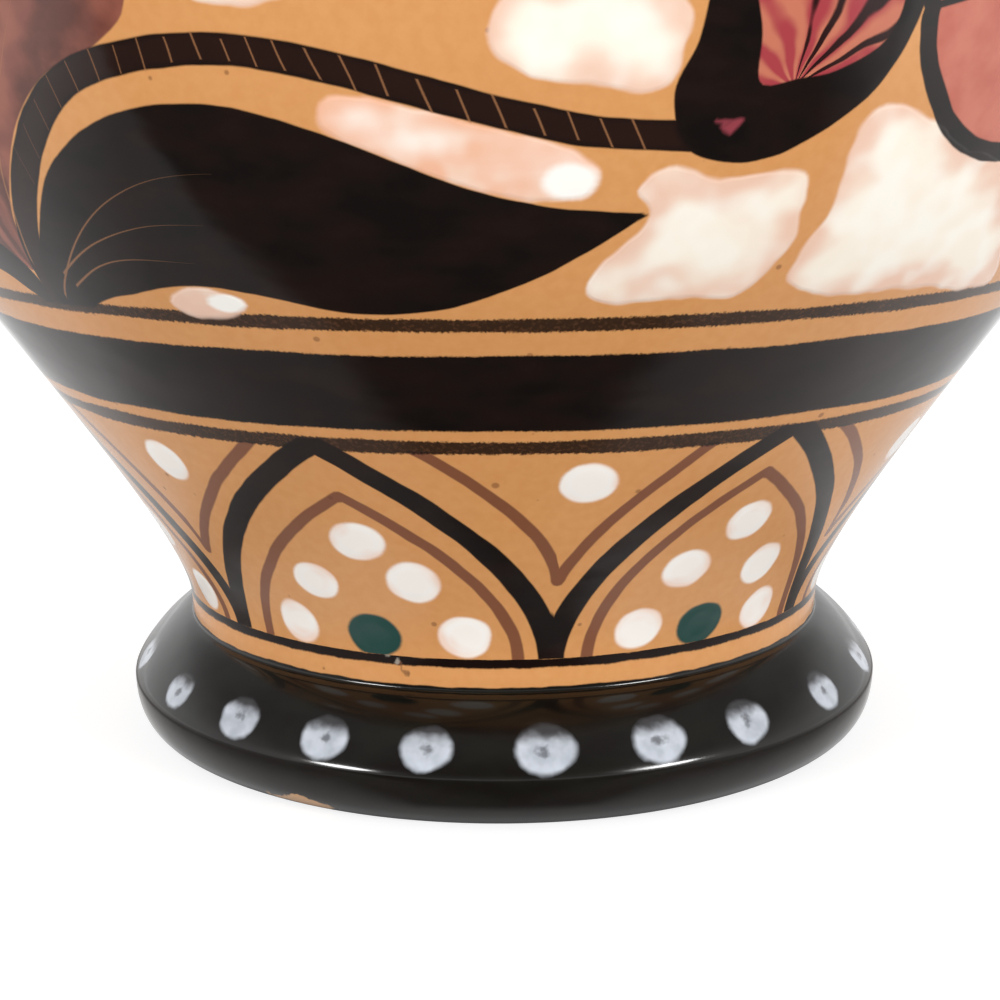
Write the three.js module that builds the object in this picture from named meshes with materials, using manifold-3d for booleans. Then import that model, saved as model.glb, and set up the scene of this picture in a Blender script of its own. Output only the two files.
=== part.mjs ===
// A two-handled earthenware vase on a flared foot. It stands on z = 0 with its axis along +Z,
// and its handles lie along -X and +X. Lengths are in millimetres, angles in degrees.
// The potter forms seven pieces and lutes them together with slip while the clay is
// leather-hard: a foot ring, the two halves of the body, a neck, a rolled lip and two
// pulled strap handles.

import * as THREE from "three";
import { mergeVertices } from "three/addons/utils/BufferGeometryUtils.js";
import Module from "manifold-3d";

const wasm = await Module();
wasm.setup();

// Foot ring: a flared, rounded flange under a narrow collar, hollow underneath.
const footRadius = 52.5;
const footRadiusHeight = 6.9;
const footOverhang = 5.3;
const standWidth = 6.7;
const standInnerRound = 1.5;
const footBendHeight = 8.8;
const footWall = 7.7;
const collarRadius = 44.2;
const creaseStep = 0.2;
const creaseHeight = 15.2;
const creaseAngle = 11.5;
const collarRise = 2.4;
const collarLength = 2;
const standOuterRadius = footRadius - footOverhang;
const standInnerRadius = standOuterRadius - standWidth;
const footThroatRadius = collarRadius - footWall;
const collarHeight = creaseHeight + collarRise;
const footSeamHeight = collarHeight + collarLength;

// Body: a collar that opens in a straight cone into a globe, a little flatter above its widest circle.
const bellyRadius = 91;
const bellyHeight = 121;
const bellyDrop = 93.4;
const bellyRise = 80;
const coneMeetsBellyAngle = 36;
const shoulderMeetsNeckAngle = 62;
const floorThickness = 8;
const floorFillet = 9;

// Neck: it leaves the shoulder in a cove, narrows, and flares to a lip that is a rolled bead.
const vaseHeight = 270;
const lipRadius = 50;
const lipBeadRadius = 4.2;
const lipDepth = 13;
const neckRadius = 31;
const neckSeamRise = 2.9;
const narrowestShare = 0.375;
const flareAngle = 45;
const shoulderTop = bellyHeight + bellyRise * Math.sin(THREE.MathUtils.degToRad(shoulderMeetsNeckAngle));
const neckSeamHeight = shoulderTop + neckSeamRise;
const neckHeight = THREE.MathUtils.lerp(shoulderTop, vaseHeight, narrowestShare);
const lipSeamHeight = vaseHeight - lipDepth;

// Walls, and the slip that lutes a handle's root to them.
const wall = 6.2;
const slipGap = 0.3;

// Handles: pulled straps, wide where they are luted on, with a groove down the back.
const handleWidth = 17;
const handleRootWidth = 25;
const handleThickness = 8;
const handleRootThickness = 10.5;
const handleRootLength = 24;
const handleGrooveDepth = 1.1;
const handleGrooveWidth = 3.4;
const handleSquareness = 2.6;
const handleTopShare = 0.36;
const handleTopAngle = 44;
const handleCrownDrop = 15;
const handleCrownSetback = 20;
const handleSetback = 10;
const handleReachShare = 0.57;
const handleFootSetback = 25;
const handleFootAngle = 74;
const handleTopHeight = THREE.MathUtils.lerp(neckHeight, lipSeamHeight, handleTopShare);
const handleReach = bellyRadius - handleSetback;
const handleCrownRadius = handleReach - handleCrownSetback;
const handleFootRadius = bellyRadius - handleFootSetback;

// How firmly each curve holds the directions at its two ends: shares of the straight line
// between them.
const hold = {
  stand: [0.46, 0.48],
  flange: [0.12, 0.285],
  crease: [0.21, 0.58],
  cone: [0.127, 0.529],
  cove: [0.348, 0.538],
  flare: [0.374, 0.264],
  throat: [0.37, 0.22],
  handleTop: [0.336, 0.308],
  handleSide: [0.3, 0.49],
  handleFoot: [0.388, 0.259],
};

// Facets: steps around the axis, along each stretch of the outline, and along and around a strap.
const steps = {
  around: 48,
  stand: 5,
  flange: 6,
  crease: 3,
  cone: 10,
  lowerGlobe: 6,
  upperGlobe: 9,
  cove: 7,
  flare: 8,
  bead: 8,
  throat: 4,
  floorFillet: 4,
  handle: 26,
  strap: 16,
};

// A ring of vertices nearer to a seam than this gives way to it.
const seamClearance = 0.8;

// Two points nearer than this are one.
const weld = 1e-4;

// The hold at both ends that makes a curve a quarter of a circle.
const quarterRound = 0.39;

const glazes = {
  black: { color: 0x17120f, roughness: 0.22 },
  ochre: { color: 0xc98a4b, roughness: 0.32 },
};

const radians = THREE.MathUtils.degToRad;

const point = (radius, height) => new THREE.Vector2(radius, height);

// A direction in the plane of the outline, by its angle above straight outwards.
const heading = (degrees) => point(Math.cos(radians(degrees)), Math.sin(radians(degrees)));
const outwards = heading(0);
const up = heading(90);
const inwards = heading(180);
const down = heading(270);

// A point and the upward direction of the body's ellipse, at an angle above its widest circle.
function bellyPoint(degrees) {
  const { x: across, y: above } = heading(degrees);
  const semiHeight = degrees < 0 ? bellyDrop : bellyRise;
  return {
    at: point(bellyRadius * across, bellyHeight + semiHeight * above),
    along: point(-bellyRadius * above, semiHeight * across).normalize(),
  };
}

// A cubic curve between two points that leaves and arrives along the given directions.
function sweep(from, leave, to, arrive, [leaveShare, arriveShare]) {
  const span = from.distanceTo(to);
  return new THREE.CubicBezierCurve(
    from,
    from.clone().addScaledVector(leave, leaveShare * span),
    to.clone().addScaledVector(arrive, -arriveShare * span),
    to,
  );
}

function ellipseArc(centre, radiusX, radiusY, fromDegrees, toDegrees) {
  return new THREE.EllipseCurve(
    centre.x,
    centre.y,
    radiusX,
    radiusY,
    radians(fromDegrees),
    radians(toDegrees),
  );
}

// Joins runs of points and leaves out a point that repeats the one before it.
function chain(...runs) {
  const joined = [];
  for (const next of runs.flat()) {
    const last = joined.at(-1);
    if (!last || last.distanceTo(next) > weld) joined.push(next);
  }
  return joined;
}

// The bead at the lip: its centre, and where the flared wall's outside and inside run into it.
const beadCentre = point(lipRadius - lipBeadRadius, vaseHeight - lipBeadRadius);
const flareOutside = beadCentre.clone().addScaledVector(heading(-flareAngle), lipBeadRadius);
const flareInside = beadCentre.clone().addScaledVector(heading(180 - flareAngle), lipBeadRadius);
const flareDirection = heading(90 - flareAngle);

// The outside of the vessel from the collar to the bead, as one smooth line.
function outerWall() {
  const collar = point(collarRadius, collarHeight);
  const cone = bellyPoint(-coneMeetsBellyAngle);
  const shoulder = bellyPoint(shoulderMeetsNeckAngle);
  const narrowest = point(neckRadius, neckHeight);
  const belly = point(0, bellyHeight);
  return chain(
    sweep(collar, up, cone.at, cone.along, hold.cone).getPoints(steps.cone),
    ellipseArc(belly, bellyRadius, bellyDrop, -coneMeetsBellyAngle, 0).getPoints(steps.lowerGlobe),
    ellipseArc(belly, bellyRadius, bellyRise, 0, shoulderMeetsNeckAngle).getPoints(steps.upperGlobe),
    sweep(shoulder.at, shoulder.along, narrowest, up, hold.cove).getPoints(steps.cove),
    sweep(narrowest, up, flareOutside, flareDirection, hold.flare).getPoints(steps.flare),
  );
}

// A line moved towards the axis by a distance, square to itself at each point.
function inset(line, distance) {
  return line.map((here, i) => {
    const before = line[Math.max(i - 1, 0)];
    const after = line[Math.min(i + 1, line.length - 1)];
    const along = after.clone().sub(before).normalize();
    return here.clone().addScaledVector(point(-along.y, along.x), distance);
  });
}

// Where a rising line reaches a height.
function crossing(line, height) {
  const i = line.findIndex((here, k) => k > 0 && here.y >= height - weld);
  const [below, above] = [line[i - 1], line[i]];
  const share = (height - below.y) / (above.y - below.y);
  return point(THREE.MathUtils.lerp(below.x, above.x, share), height);
}

// The stretch of a rising line between two heights, with its ends exactly at them.
function between(line, low, high) {
  const middle = line.filter(
    (here) => here.y > low + seamClearance && here.y < high - seamClearance,
  );
  return [crossing(line, low), ...middle, crossing(line, high)];
}

const outside = outerWall();
const inside = inset(outside, wall);

// A solid of revolution about +Z from a closed outline of radius and height.
function turned(outline) {
  return new THREE.LatheGeometry(outline, steps.around).rotateX(Math.PI / 2);
}

// A ring of wall between two seams: up the outside and down the inside.
function wallRing(low, high) {
  const outer = between(outside, low, high);
  const inner = between(inside, low, high).reverse();
  return turned([...outer, ...inner, outer[0].clone()]);
}

// The foot: out under the flange, over its round edge, in to the crease and up the collar.
function footRing() {
  const stand = point(standOuterRadius, 0);
  const edge = point(footRadius, footRadiusHeight);
  const crease = point(collarRadius + creaseStep, creaseHeight);
  const collar = point(collarRadius, collarHeight);
  const slope = heading(180 - creaseAngle);
  const outer = chain(
    sweep(stand, outwards, edge, up, hold.stand).getPoints(steps.stand),
    sweep(edge, up, crease, slope, hold.flange).getPoints(steps.flange),
    sweep(crease, slope, collar, up, hold.crease).getPoints(steps.crease),
    [crossing(outside, footSeamHeight)],
  );
  const hollow = [
    point(footThroatRadius, footSeamHeight),
    point((footThroatRadius + standInnerRadius) / 2, footBendHeight),
    point(standInnerRadius, standInnerRound),
    point(standInnerRadius + standInnerRound, 0),
  ];
  return turned([...outer, ...hollow, stand.clone()]);
}

// The lower half of the body, with its thick floor and a round fillet inside.
function lowerBody() {
  const floorHeight = footSeamHeight + floorThickness;
  const outer = between(outside, footSeamHeight, bellyHeight);
  const inner = between(inside, floorHeight + floorFillet, bellyHeight).reverse();
  const filletTop = inner.at(-1);
  const filletFoot = point(filletTop.x - floorFillet, floorHeight);
  const fillet = sweep(filletTop, down, filletFoot, inwards, [quarterRound, quarterRound]);
  return turned([
    point(0, footSeamHeight),
    ...chain(outer, inner, fillet.getPoints(steps.floorFillet)),
    point(0, floorHeight),
  ]);
}

// The lip: the last of the flare, rolled over into a bead that runs down into the throat.
function lip() {
  const outer = between(outside, lipSeamHeight, flareOutside.y);
  const bead = ellipseArc(beadCentre, lipBeadRadius, lipBeadRadius, -flareAngle, 180 - flareAngle);
  const seam = crossing(inside, lipSeamHeight);
  const downTheFlare = flareDirection.clone().negate();
  const intoTheNeck = crossing(inside, lipSeamHeight - wall).sub(seam).normalize();
  const throat = sweep(flareInside, downTheFlare, seam, intoTheNeck, hold.throat);
  return turned(
    chain(outer, bead.getPoints(steps.bead), throat.getPoints(steps.throat), [outer[0].clone()]),
  );
}

// A closed mesh as a solid that can be joined and cut.
function solidFrom(positions, triangles) {
  return new wasm.Manifold(
    new wasm.Mesh({
      numProp: 3,
      vertProperties: new Float32Array(positions),
      triVerts: new Uint32Array(triangles),
    }),
  );
}

function geometryOf(solid) {
  const mesh = solid.getMesh();
  const geometry = new THREE.BufferGeometry();
  geometry.setAttribute("position", new THREE.BufferAttribute(mesh.vertProperties, 3));
  geometry.setIndex(new THREE.BufferAttribute(mesh.triVerts, 1));
  const faceted = geometry.toNonIndexed();
  faceted.computeVertexNormals();
  return faceted;
}

// The vessel's outside, filled to the axis and grown by the thickness of the slip.
function vesselWithSlip() {
  const grown = inset(outside, -slipGap);
  const bottom = point(0, grown[0].y);
  const top = point(0, grown.at(-1).y);
  const bare = turned([bottom, ...grown, top]);
  bare.deleteAttribute("normal");
  bare.deleteAttribute("uv");
  const merged = mergeVertices(bare, weld);
  return solidFrom(merged.attributes.position.array, merged.index.array);
}

// Height of the shoulder where it has a given radius.
const shoulderHeightAt = (radius) =>
  bellyHeight + bellyRise * Math.sqrt(1 - (radius / bellyRadius) ** 2);

// The line down the middle of a handle, from within the neck's wall to within the shoulder's:
// up and out to its crown, over to its furthest reach, and down and in to its foot.
function handleLine() {
  const depth = wall / 2;
  const top = point(crossing(outside, handleTopHeight).x - depth, handleTopHeight);
  const crown = point(handleCrownRadius, vaseHeight - handleCrownDrop - handleThickness / 2);
  const foot = point(handleFootRadius, shoulderHeightAt(handleFootRadius) - depth);
  const reach = point(
    handleReach - handleThickness / 2,
    THREE.MathUtils.lerp(foot.y, crown.y, handleReachShare),
  );
  const footDirection = heading(180 + handleFootAngle);
  const line = new THREE.CurvePath();
  line.add(sweep(top, heading(handleTopAngle), crown, outwards, hold.handleTop));
  line.add(sweep(crown, outwards, reach, down, hold.handleSide));
  line.add(sweep(reach, down, foot, footDirection, hold.handleFoot));
  return line;
}

// How far a place on the handle is into a root: 1 at either end, 0 along the grip.
function rootShare(lengthToEnd) {
  const into = THREE.MathUtils.clamp(1 - lengthToEnd / handleRootLength, 0, 1);
  return THREE.MathUtils.smoothstep(into, 0, 1);
}

// One ring of the strap: a squarish oval across the line, with a groove down its back.
function strapSection(line, share) {
  const root = rootShare(Math.min(share, 1 - share) * line.getLength());
  const halfWidth = THREE.MathUtils.lerp(handleWidth, handleRootWidth, root) / 2;
  const halfThickness = THREE.MathUtils.lerp(handleThickness, handleRootThickness, root) / 2;
  const centre = line.getPointAt(share);
  const along = line.getTangentAt(share);
  const back = point(-along.y, along.x);
  const rounded = (value) => Math.sign(value) * Math.abs(value) ** (2 / handleSquareness);
  return Array.from({ length: steps.strap }, (_, i) => {
    const around = heading((360 * i) / steps.strap);
    const across = halfWidth * rounded(around.x);
    const groove = handleGrooveDepth * Math.exp(-((across / handleGrooveWidth) ** 2));
    const rise = halfThickness * rounded(around.y) - (around.y > 0 ? groove : 0);
    const place = centre.clone().addScaledVector(back, rise);
    return [place.x, across, place.y];
  });
}

// The strap is lofted through its rings and closed at both ends, then trimmed to the vessel.
function handle() {
  const line = handleLine();
  const rings = Array.from({ length: steps.handle + 1 }, (_, i) =>
    strapSection(line, i / steps.handle),
  );
  const faces = [];
  for (let i = 0; i < steps.handle; i++) {
    for (let k = 0; k < steps.strap; k++) {
      const a = i * steps.strap + k;
      const b = i * steps.strap + ((k + 1) % steps.strap);
      const [c, d] = [a + steps.strap, b + steps.strap];
      faces.push(a, b, c, b, d, c);
    }
  }
  const lastRing = steps.handle * steps.strap;
  for (let k = 1; k < steps.strap - 1; k++) {
    faces.push(0, k + 1, k);
    faces.push(lastRing, lastRing + k, lastRing + k + 1);
  }
  return solidFrom(rings.flat(2), faces).subtract(vesselWithSlip());
}

const vase = new THREE.Group();

function add(name, geometry, glaze) {
  const material = new THREE.MeshStandardMaterial({ ...glazes[glaze], metalness: 0 });
  const mesh = new THREE.Mesh(geometry, material);
  mesh.name = name;
  vase.add(mesh);
}

add("foot_ring", footRing(), "black");
add("lower_body", lowerBody(), "ochre");
add("upper_body", wallRing(bellyHeight, neckSeamHeight), "ochre");
add("neck", wallRing(neckSeamHeight, lipSeamHeight), "ochre");
add("lip", lip(), "black");
const rightHandle = handle();
add("handle_right", geometryOf(rightHandle), "black");
add("handle_left", geometryOf(rightHandle.mirror([1, 0, 0])), "black");

export default vase;
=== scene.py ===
"""Dresses the two-handled vase: a thrown, hand-painted and clear-glazed earthenware vessel.

Lengths in the functions are millimetres and angles are degrees from the front (-Y) towards +X.
Meshes are in metres. Each painted shape is a field on the clay: the distance in millimetres to
its edge, above zero inside it, worked out for every vertex and read by the materials.
"""

import math
from functools import cache
from itertools import cycle

import bpy
import numpy as np
from bpy.props import FloatProperty, FloatVectorProperty, PointerProperty
from mathutils import Euler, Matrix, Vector


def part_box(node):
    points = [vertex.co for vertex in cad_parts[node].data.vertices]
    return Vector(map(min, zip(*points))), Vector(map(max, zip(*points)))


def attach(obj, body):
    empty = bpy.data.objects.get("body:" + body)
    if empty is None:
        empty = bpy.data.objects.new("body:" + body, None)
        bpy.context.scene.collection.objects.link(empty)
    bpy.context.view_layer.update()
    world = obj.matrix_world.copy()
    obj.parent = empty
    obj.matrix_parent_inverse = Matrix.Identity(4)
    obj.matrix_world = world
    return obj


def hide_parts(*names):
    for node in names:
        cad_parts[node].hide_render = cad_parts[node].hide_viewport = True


bl_info = {
    "name": "Two-handled vase",
    "version": (1, 0, 0),
    "blender": (4, 5, 0),
    "location": "View3D > Sidebar > Vase",
    "description": "Makes the painted skin of a two-handled earthenware vase and its studio",
    "category": "Add Mesh",
}

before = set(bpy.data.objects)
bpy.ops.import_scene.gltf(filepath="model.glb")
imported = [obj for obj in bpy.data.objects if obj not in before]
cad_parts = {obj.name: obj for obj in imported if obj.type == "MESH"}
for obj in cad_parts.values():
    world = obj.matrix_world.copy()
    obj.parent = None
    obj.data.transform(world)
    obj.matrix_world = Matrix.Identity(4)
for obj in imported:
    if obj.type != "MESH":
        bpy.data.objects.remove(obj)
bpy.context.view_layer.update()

BODY = "root"
MM = 0.001


def node_reach(node, axis):
    """The highest coordinate of a CAD node along an axis, in millimetres."""
    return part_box(node)[1][axis] / MM


# The main sizes of the vase, read from the frame.
FOOT_RADIUS = node_reach("foot_ring", 0)
FOOT_SEAM = node_reach("foot_ring", 2)
BELLY_RADIUS = node_reach("lower_body", 0)
BELLY_HEIGHT = node_reach("lower_body", 2)
NECK_SEAM = node_reach("upper_body", 2)
LIP_SEAM = node_reach("neck", 2)
LIP_RADIUS = node_reach("lip", 0)
VASE_HEIGHT = node_reach("lip", 2)

# The outline between those sizes.
FOOT_EDGE_HEIGHT = 6.9
STAND_RADIUS = FOOT_RADIUS - 5.3
STAND_WIDTH = 6.7
STAND_ROUND = 1.5
THROAT_RADIUS = 36.5
COLLAR_RADIUS = 44.2
COLLAR_HEIGHT = FOOT_SEAM - 2
CREASE_HEIGHT = COLLAR_HEIGHT - 2.4
CREASE_STEP = 0.2
CREASE_ANGLE = 11.5
BELLY_DROP = 93.4
BELLY_RISE = 80
CONE_MEETS_BELLY = 36
SHOULDER_MEETS_NECK = 62
NECK_RADIUS = 31
NARROWEST_SHARE = 0.375
BEAD_RADIUS = 4.2
FLARE_ANGLE = 45
WALL = 6.2
FLOOR_THICKNESS = 8
FLOOR_FILLET = 9

# How far each sweep holds the directions at its two ends, as shares of the straight line between
# them. A corner is a quarter round.
HOLDS = {
    "stand": (0.46, 0.48),
    "flange": (0.12, 0.285),
    "crease": (0.21, 0.58),
    "hollow": (0.4, 0.5),
    "corner": (0.39, 0.39),
    "cone": (0.127, 0.529),
    "cove": (0.348, 0.538),
    "flare": (0.374, 0.264),
    "throat": (0.37, 0.22),
    "handle_top": (0.336, 0.308),
    "handle_side": (0.3, 0.49),
    "handle_foot": (0.388, 0.259),
}

# The line of a handle and its section.
HANDLE_WIDTH = 17
HANDLE_ROOT_WIDTH = 25
HANDLE_THICKNESS = 8
HANDLE_ROOT_THICKNESS = 10.5
HANDLE_ROOT_LENGTH = 24
HANDLE_SQUARENESS = 2.6
GROOVE_DEPTH = 1.1
GROOVE_WIDTH = 3.4
HANDLE_TOP_SHARE = 0.36
HANDLE_TOP_ANGLE = 44
HANDLE_CROWN_DROP = 15
HANDLE_CROWN_RADIUS = BELLY_RADIUS - 30
HANDLE_OUT_RADIUS = BELLY_RADIUS - 10
HANDLE_OUT_SHARE = 0.57
HANDLE_FOOT_RADIUS = BELLY_RADIUS - 25
HANDLE_FOOT_ANGLE = 74

# The arches above the foot: the angles of their feet and crowns right round the vase.
ARCH_FEET = (-49, 7.3, 57.4, 108.5, 159.5, 210, 260.5, 311)
ARCH_CROWNS = (-20.4, 32.9, 83.8, 134.3, 184.8, 235.3, 285.8)
# The arches stand between these heights above the foot, and hang upside down on the shoulder.
ARCH_SPAN = (19.6, 49.5)
SHOULDER_SPAN = (194, 175.5)

# The lines of an arch: half the line's width, the height of its feet, and, for the left and the
# right side of two arches in turn, how many degrees its tip lies past the arch's crown and its
# foot short of the arch's foot, the height of its tip, and its power. The outer line stops below
# the band.
ARCH_LINES = {
    "arch_black": (
        1.5, 19.6, ((0, 0.1, 49.5, 0.62), (0, 0.1, 49.5, 0.62), (0, 0.1, 50.2, 0.6), (0, 0.1, 50.2, 0.6)),
    ),
    "arch_outer": (
        0.78, 30.8, ((0, 0, 54.6, 0.86), (0, 0, 56.5, 0.65), (0, 0, 58.4, 0.8), (0, 0, 53.4, 0.57)),
    ),
    "arch_inner": (
        0.77, 19.3, ((1, 7, 42.4, 0.57), (1, 5.2, 42.4, 0.57), (-1, 5.7, 44, 0.52), (-1, 3.5, 44, 0.52)),
    ),
}
OUTER_LINE_END = 49
BLACK_LINE_END = 50.2

# The dots in an arch, in turn for every other arch: degrees from the crown, height, and half the
# width and height. Then those between two arches, with degrees from the foot that they share.
ARCH_DOTS = (
    ((1.3, 36.1, 3.5, 3.3), (-7.4, 29.5, 3.0, 2.9), (7.7, 30.6, 3.4, 3.3), (-13.9, 22.9, 2.9, 3.3),
     (14.5, 22.8, 3.2, 3.1)),
    ((0.4, 36.9, 3.2, 3.2), (-6.8, 31, 3.3, 3.2), (7.6, 29.6, 3.1, 3.2), (-11.9, 22.9, 3.1, 3.1),
     (12.3, 22.4, 3.1, 3.1)),
)
GREEN_DOTS = (((-0.2, 22.3, 3.5, 3.3),), ((-0.5, 22.2, 3.4, 3.2),))
SPANDREL_DOTS = ((5.1, 44.4, 3.4, 3.3), (2.2, 44.7, 3.4, 3.3), (5.5, 43, 3.4, 3.3))

# Wheel-painted lines: the height of the middle and half the width.
BROWN_LINES = ((64.65, 0.76), (49.55, 0.82), (162.5, 0.8), (175.3, 0.8))
BLACK_LINES = ((56.4, 4.7), (169, 3.6))
COLLAR_LINE = (19.02, 0.64)
COLLAR_PAINT_FOOT = 15.9

# The painting on the belly, as (degrees, height) on the front; the back is painted alike.
LEAF = (
    (-44.4, 60), (-43.1, 65.5), (-41.9, 69.5), (-39.2, 74), (-34, 81.6), (-26.5, 86.7), (-18, 87.2),
    (-10, 83.6), (-2, 79.2), (4.5, 77.3), (10.7, 76.7), (10.7, 76.7), (6.8, 73.2), (2.2, 69.7),
    (-4.5, 66.5), (-12.3, 66), (-20, 67.7), (-25.7, 68.4), (-31.8, 67.1), (-37.2, 65.4), (-41.8, 62),
)
STEM = (
    (-43.4, 62), (-42.6, 67), (-41.6, 72), (-38.4, 78.7), (-34.9, 84.6), (-31, 89.3), (-25.9, 91.8),
    (-19, 92.8), (-12, 91.4), (-3.5, 88), (2, 86), (6.2, 84.8), (12, 84.3), (18, 84),
)
VEINS = (
    ((-43, 61), (-41.4, 65.8), (-38.2, 69.8), (-33.9, 74.4), (-30, 77.6), (-25.7, 79.8), (-21, 80.6),
     (-15, 80.4)),
    ((-42, 66.6), (-38.5, 69.4), (-33.6, 72.6), (-28.2, 74.7), (-23.1, 75.2), (-17, 75)),
    ((-41, 65.8), (-38, 67.8), (-34.3, 70), (-30.6, 71), (-25.3, 71), (-19, 70.7)),
    ((-33, 98), (-35, 93.2), (-37, 88.5), (-40.2, 80.7), (-41.6, 75.2), (-43, 70.1), (-43.6, 67)),
)
# The degrees between which each vein is scratched, how near its line a scratch has to be, and how
# far inside a long leaf's edge the midrib stops.
VEIN_ENDS = ((-41.4, -20.5), (-39.5, -22.5), (-38.8, -24.5), (-43.1, -32))
VEIN_REACH = 2
MIDRIB_STOP = 1.2

DABS = (
    ((6.3, 69), (8, 67), (14, 67.1), (18.8, 67.3), (21.8, 72.2), (22.2, 79), (20.5, 80.6), (15.1, 80),
     (11.5, 81.2), (9.4, 79), (10.4, 76.5), (8.5, 73)),
    ((23.3, 68.2), (27.5, 66.8), (36, 66.8), (43.5, 65.6), (50, 65.4), (47, 71), (40, 80), (34.9, 82),
     (29.5, 86.6), (26, 86.6), (24.5, 82.4), (24.7, 76.3), (23.2, 71)),
    ((-0.7, 94), (0.2, 91.2), (4, 89.3), (9.5, 88.8), (11.4, 91.5), (11.2, 96.5), (7, 99.5), (1.5, 98.4)),
    ((-28.6, 66.5), (-26, 68.1), (-22.5, 67.9), (-21.1, 66.4), (-23, 65), (-27, 64.9)),
    ((-20, 98), (-15, 97), (-9, 99.5), (-6, 104), (-9, 108.5), (-15, 109), (-20, 105)),
    ((29, 137), (35, 136), (41, 139), (43, 144), (38, 147.5), (31, 145)),
    ((-50, 137), (-44, 135), (-38, 137.5), (-37, 143), (-43, 146), (-49, 143.5)),
    ((-3, 147), (3, 145), (9, 147), (9, 152), (2, 154.5), (-4, 152)),
    ((73, 73), (79, 70.5), (86, 73), (86, 80), (80, 83), (74, 80)),
)
PINK_DABS = (
    ((-12, 86), (-10.8, 88.2), (-6.5, 87.5), (0, 85.1), (5.5, 82.4), (6.7, 80), (5.2, 77.9), (1, 78.1),
     (-5, 80.7), (-10.5, 84.3)),
    ((13, 117), (19, 115), (25, 118), (27, 124), (22, 127), (15, 124)),
    ((-33, 120), (-27, 118), (-22, 121), (-22, 127), (-28, 130), (-34, 126)),
    ((64, 109), (70, 107), (76, 110), (75, 117), (69, 119), (64, 116)),
)
WHITE_TOUCHES = ((4.6, 79.9, 3.0, 2.1), (-23, 66.6, 2.6, 1.3))
BUD = (
    (12.4, 94), (11.1, 88.6), (11.8, 84), (14, 82), (17.8, 81.6), (22, 84.4), (25.6, 88.8), (27.6, 95),
    (27.6, 103), (22.5, 110.5), (16.5, 109.5), (13.4, 102),
)
BUD_PETALS = (
    (16.4, 94), (16.8, 89.2), (19.5, 89.6), (22.3, 90.4), (25.6, 93.6), (26, 100), (23, 107), (18.6, 108),
    (15.6, 101),
)
BUD_TOUCH = ((14, 85.9), (15.1, 85.7), (16.1, 85.9), (15.6, 84.8), (15.1, 84.2), (14.6, 84.9))
BUD_BASE = (19.2, 88.8)
FAN = (
    (-43.4, 68.5), (-42.1, 74.5), (-40, 79), (-36.3, 85.4), (-32, 90.3), (-27, 93.2), (-24, 98), (-27, 108),
    (-36, 116), (-48, 119), (-60, 115), (-68, 105), (-66, 93), (-57, 82), (-48, 73),
)
FAN_BASE = (-43.2, 66.5)
LEFT_LEAF = (
    (-43.5, 66), (-45, 70), (-50, 74.5), (-58, 79), (-67, 80.5), (-76, 78), (-82, 75), (-76, 71.5),
    (-66, 69.5), (-57, 69), (-50, 68.2), (-46.6, 65.8), (-43.5, 63.5),
)

# The shapes whose distance to their edge is stored under a name of its own.
SHAPES = {
    "leaf": (LEAF,),
    "left_leaf": (LEFT_LEAF,),
    "bud": (BUD,),
    "bud_petals": (BUD_PETALS,),
    "bud_touch": (BUD_TOUCH,),
    "fan": (FAN,),
    "dab": DABS,
    "pink_dab": PINK_DABS,
}

# The stem narrows between these lengths along it, from one half width to the other.
STEM_BEND = (24, 56)
STEM_HALF_WIDTHS = (1.85, 1.65)

# Leaves above what the photograph shows: base, tip, width and bow of the midrib.
LEAVES = (
    ((5, 113), (-14, 127), 11, 5),
    ((27, 133), (47, 127), 10, 3),
    ((53, 137), (71, 126), 10, 4),
    ((-24, 140), (-1, 139), 11, 4.5),
    ((-58, 124), (-75, 137), 10, -4),
    ((14, 153), (36, 152), 9, 3),
    ((-16, 152), (-38, 152), 9, -3),
    ((86, 105), (71, 94), 11, 4),
    ((-86, 105), (-71, 94), 11, -4),
    ((84, 131), (79, 149), 10, 3),
    ((-84, 131), (-79, 149), 10, -3),
)

# Round flowers: centre, radius, petals, the turn of the first petal, and how deep the notches are.
# The one under a handle lies across the edge of the sheet and is drawn at both of its edges. All
# have a black outline of one width.
ROSETTES = (
    ((42, 101), 22.8, 5, 230, 0.07),
    ((-22, 112), 12, 5, 18, 0.16),
    ((20, 143), 11, 6, 0, 0.16),
    ((-60, 148), 9, 5, 40, 0.16),
    ((58, 148), 9, 5, 10, 0.16),
    ((90, 117), 14, 6, 90, 0.12),
    ((-90, 117), 14, 6, 90, 0.12),
)
ROSETTE_OUTLINE = 2.2

# Strokes scratched across the stem: how far apart, between which degrees, how they lean at those
# ends, and how far up the wall they are centred.
SCRATCH_SPACING = 2.85
SCRATCH_ENDS = (-38.5, 10)
SCRATCH_LEANS = (0.1, 0.42)
SCRATCH_RISE = 96

# The neck's lines, and the row of dots on its black band.
NECK_BROWN_LINES = ((199.5, 0.8), (219.5, 0.8), (247, 0.8))
NECK_BLACK_LINES = ((209.5, 5), (253.5, 2.2))
NECK_DOTS = (14, 209.5, 3.1, 3.0)
LIP_DOTS = (22, VASE_HEIGHT - BEAD_RADIUS, 3.2, 2.8)
HANDLE_DOT_SPACING = 11.5
HANDLE_DOT_HALF = (2.6, 2.8)

# Flakes chipped off the foot's collar, the crack beside them, and a bare patch on the foot's lower
# edge: (degrees, height, half sizes).
CHIPS = ((-18.9, 19.3, 0.55, 0.4), (-17.3, 18.9, 0.4, 0.5))
CRACK = ((-17.0, 18.5, 0.45, 0.45), (-16.3, 17.9, 0.4, 0.5), (-15.8, 17.3, 0.35, 0.45))
BARE_PATCH = ((-29.8, 1.3, 3.6, 1.1),)

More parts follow.
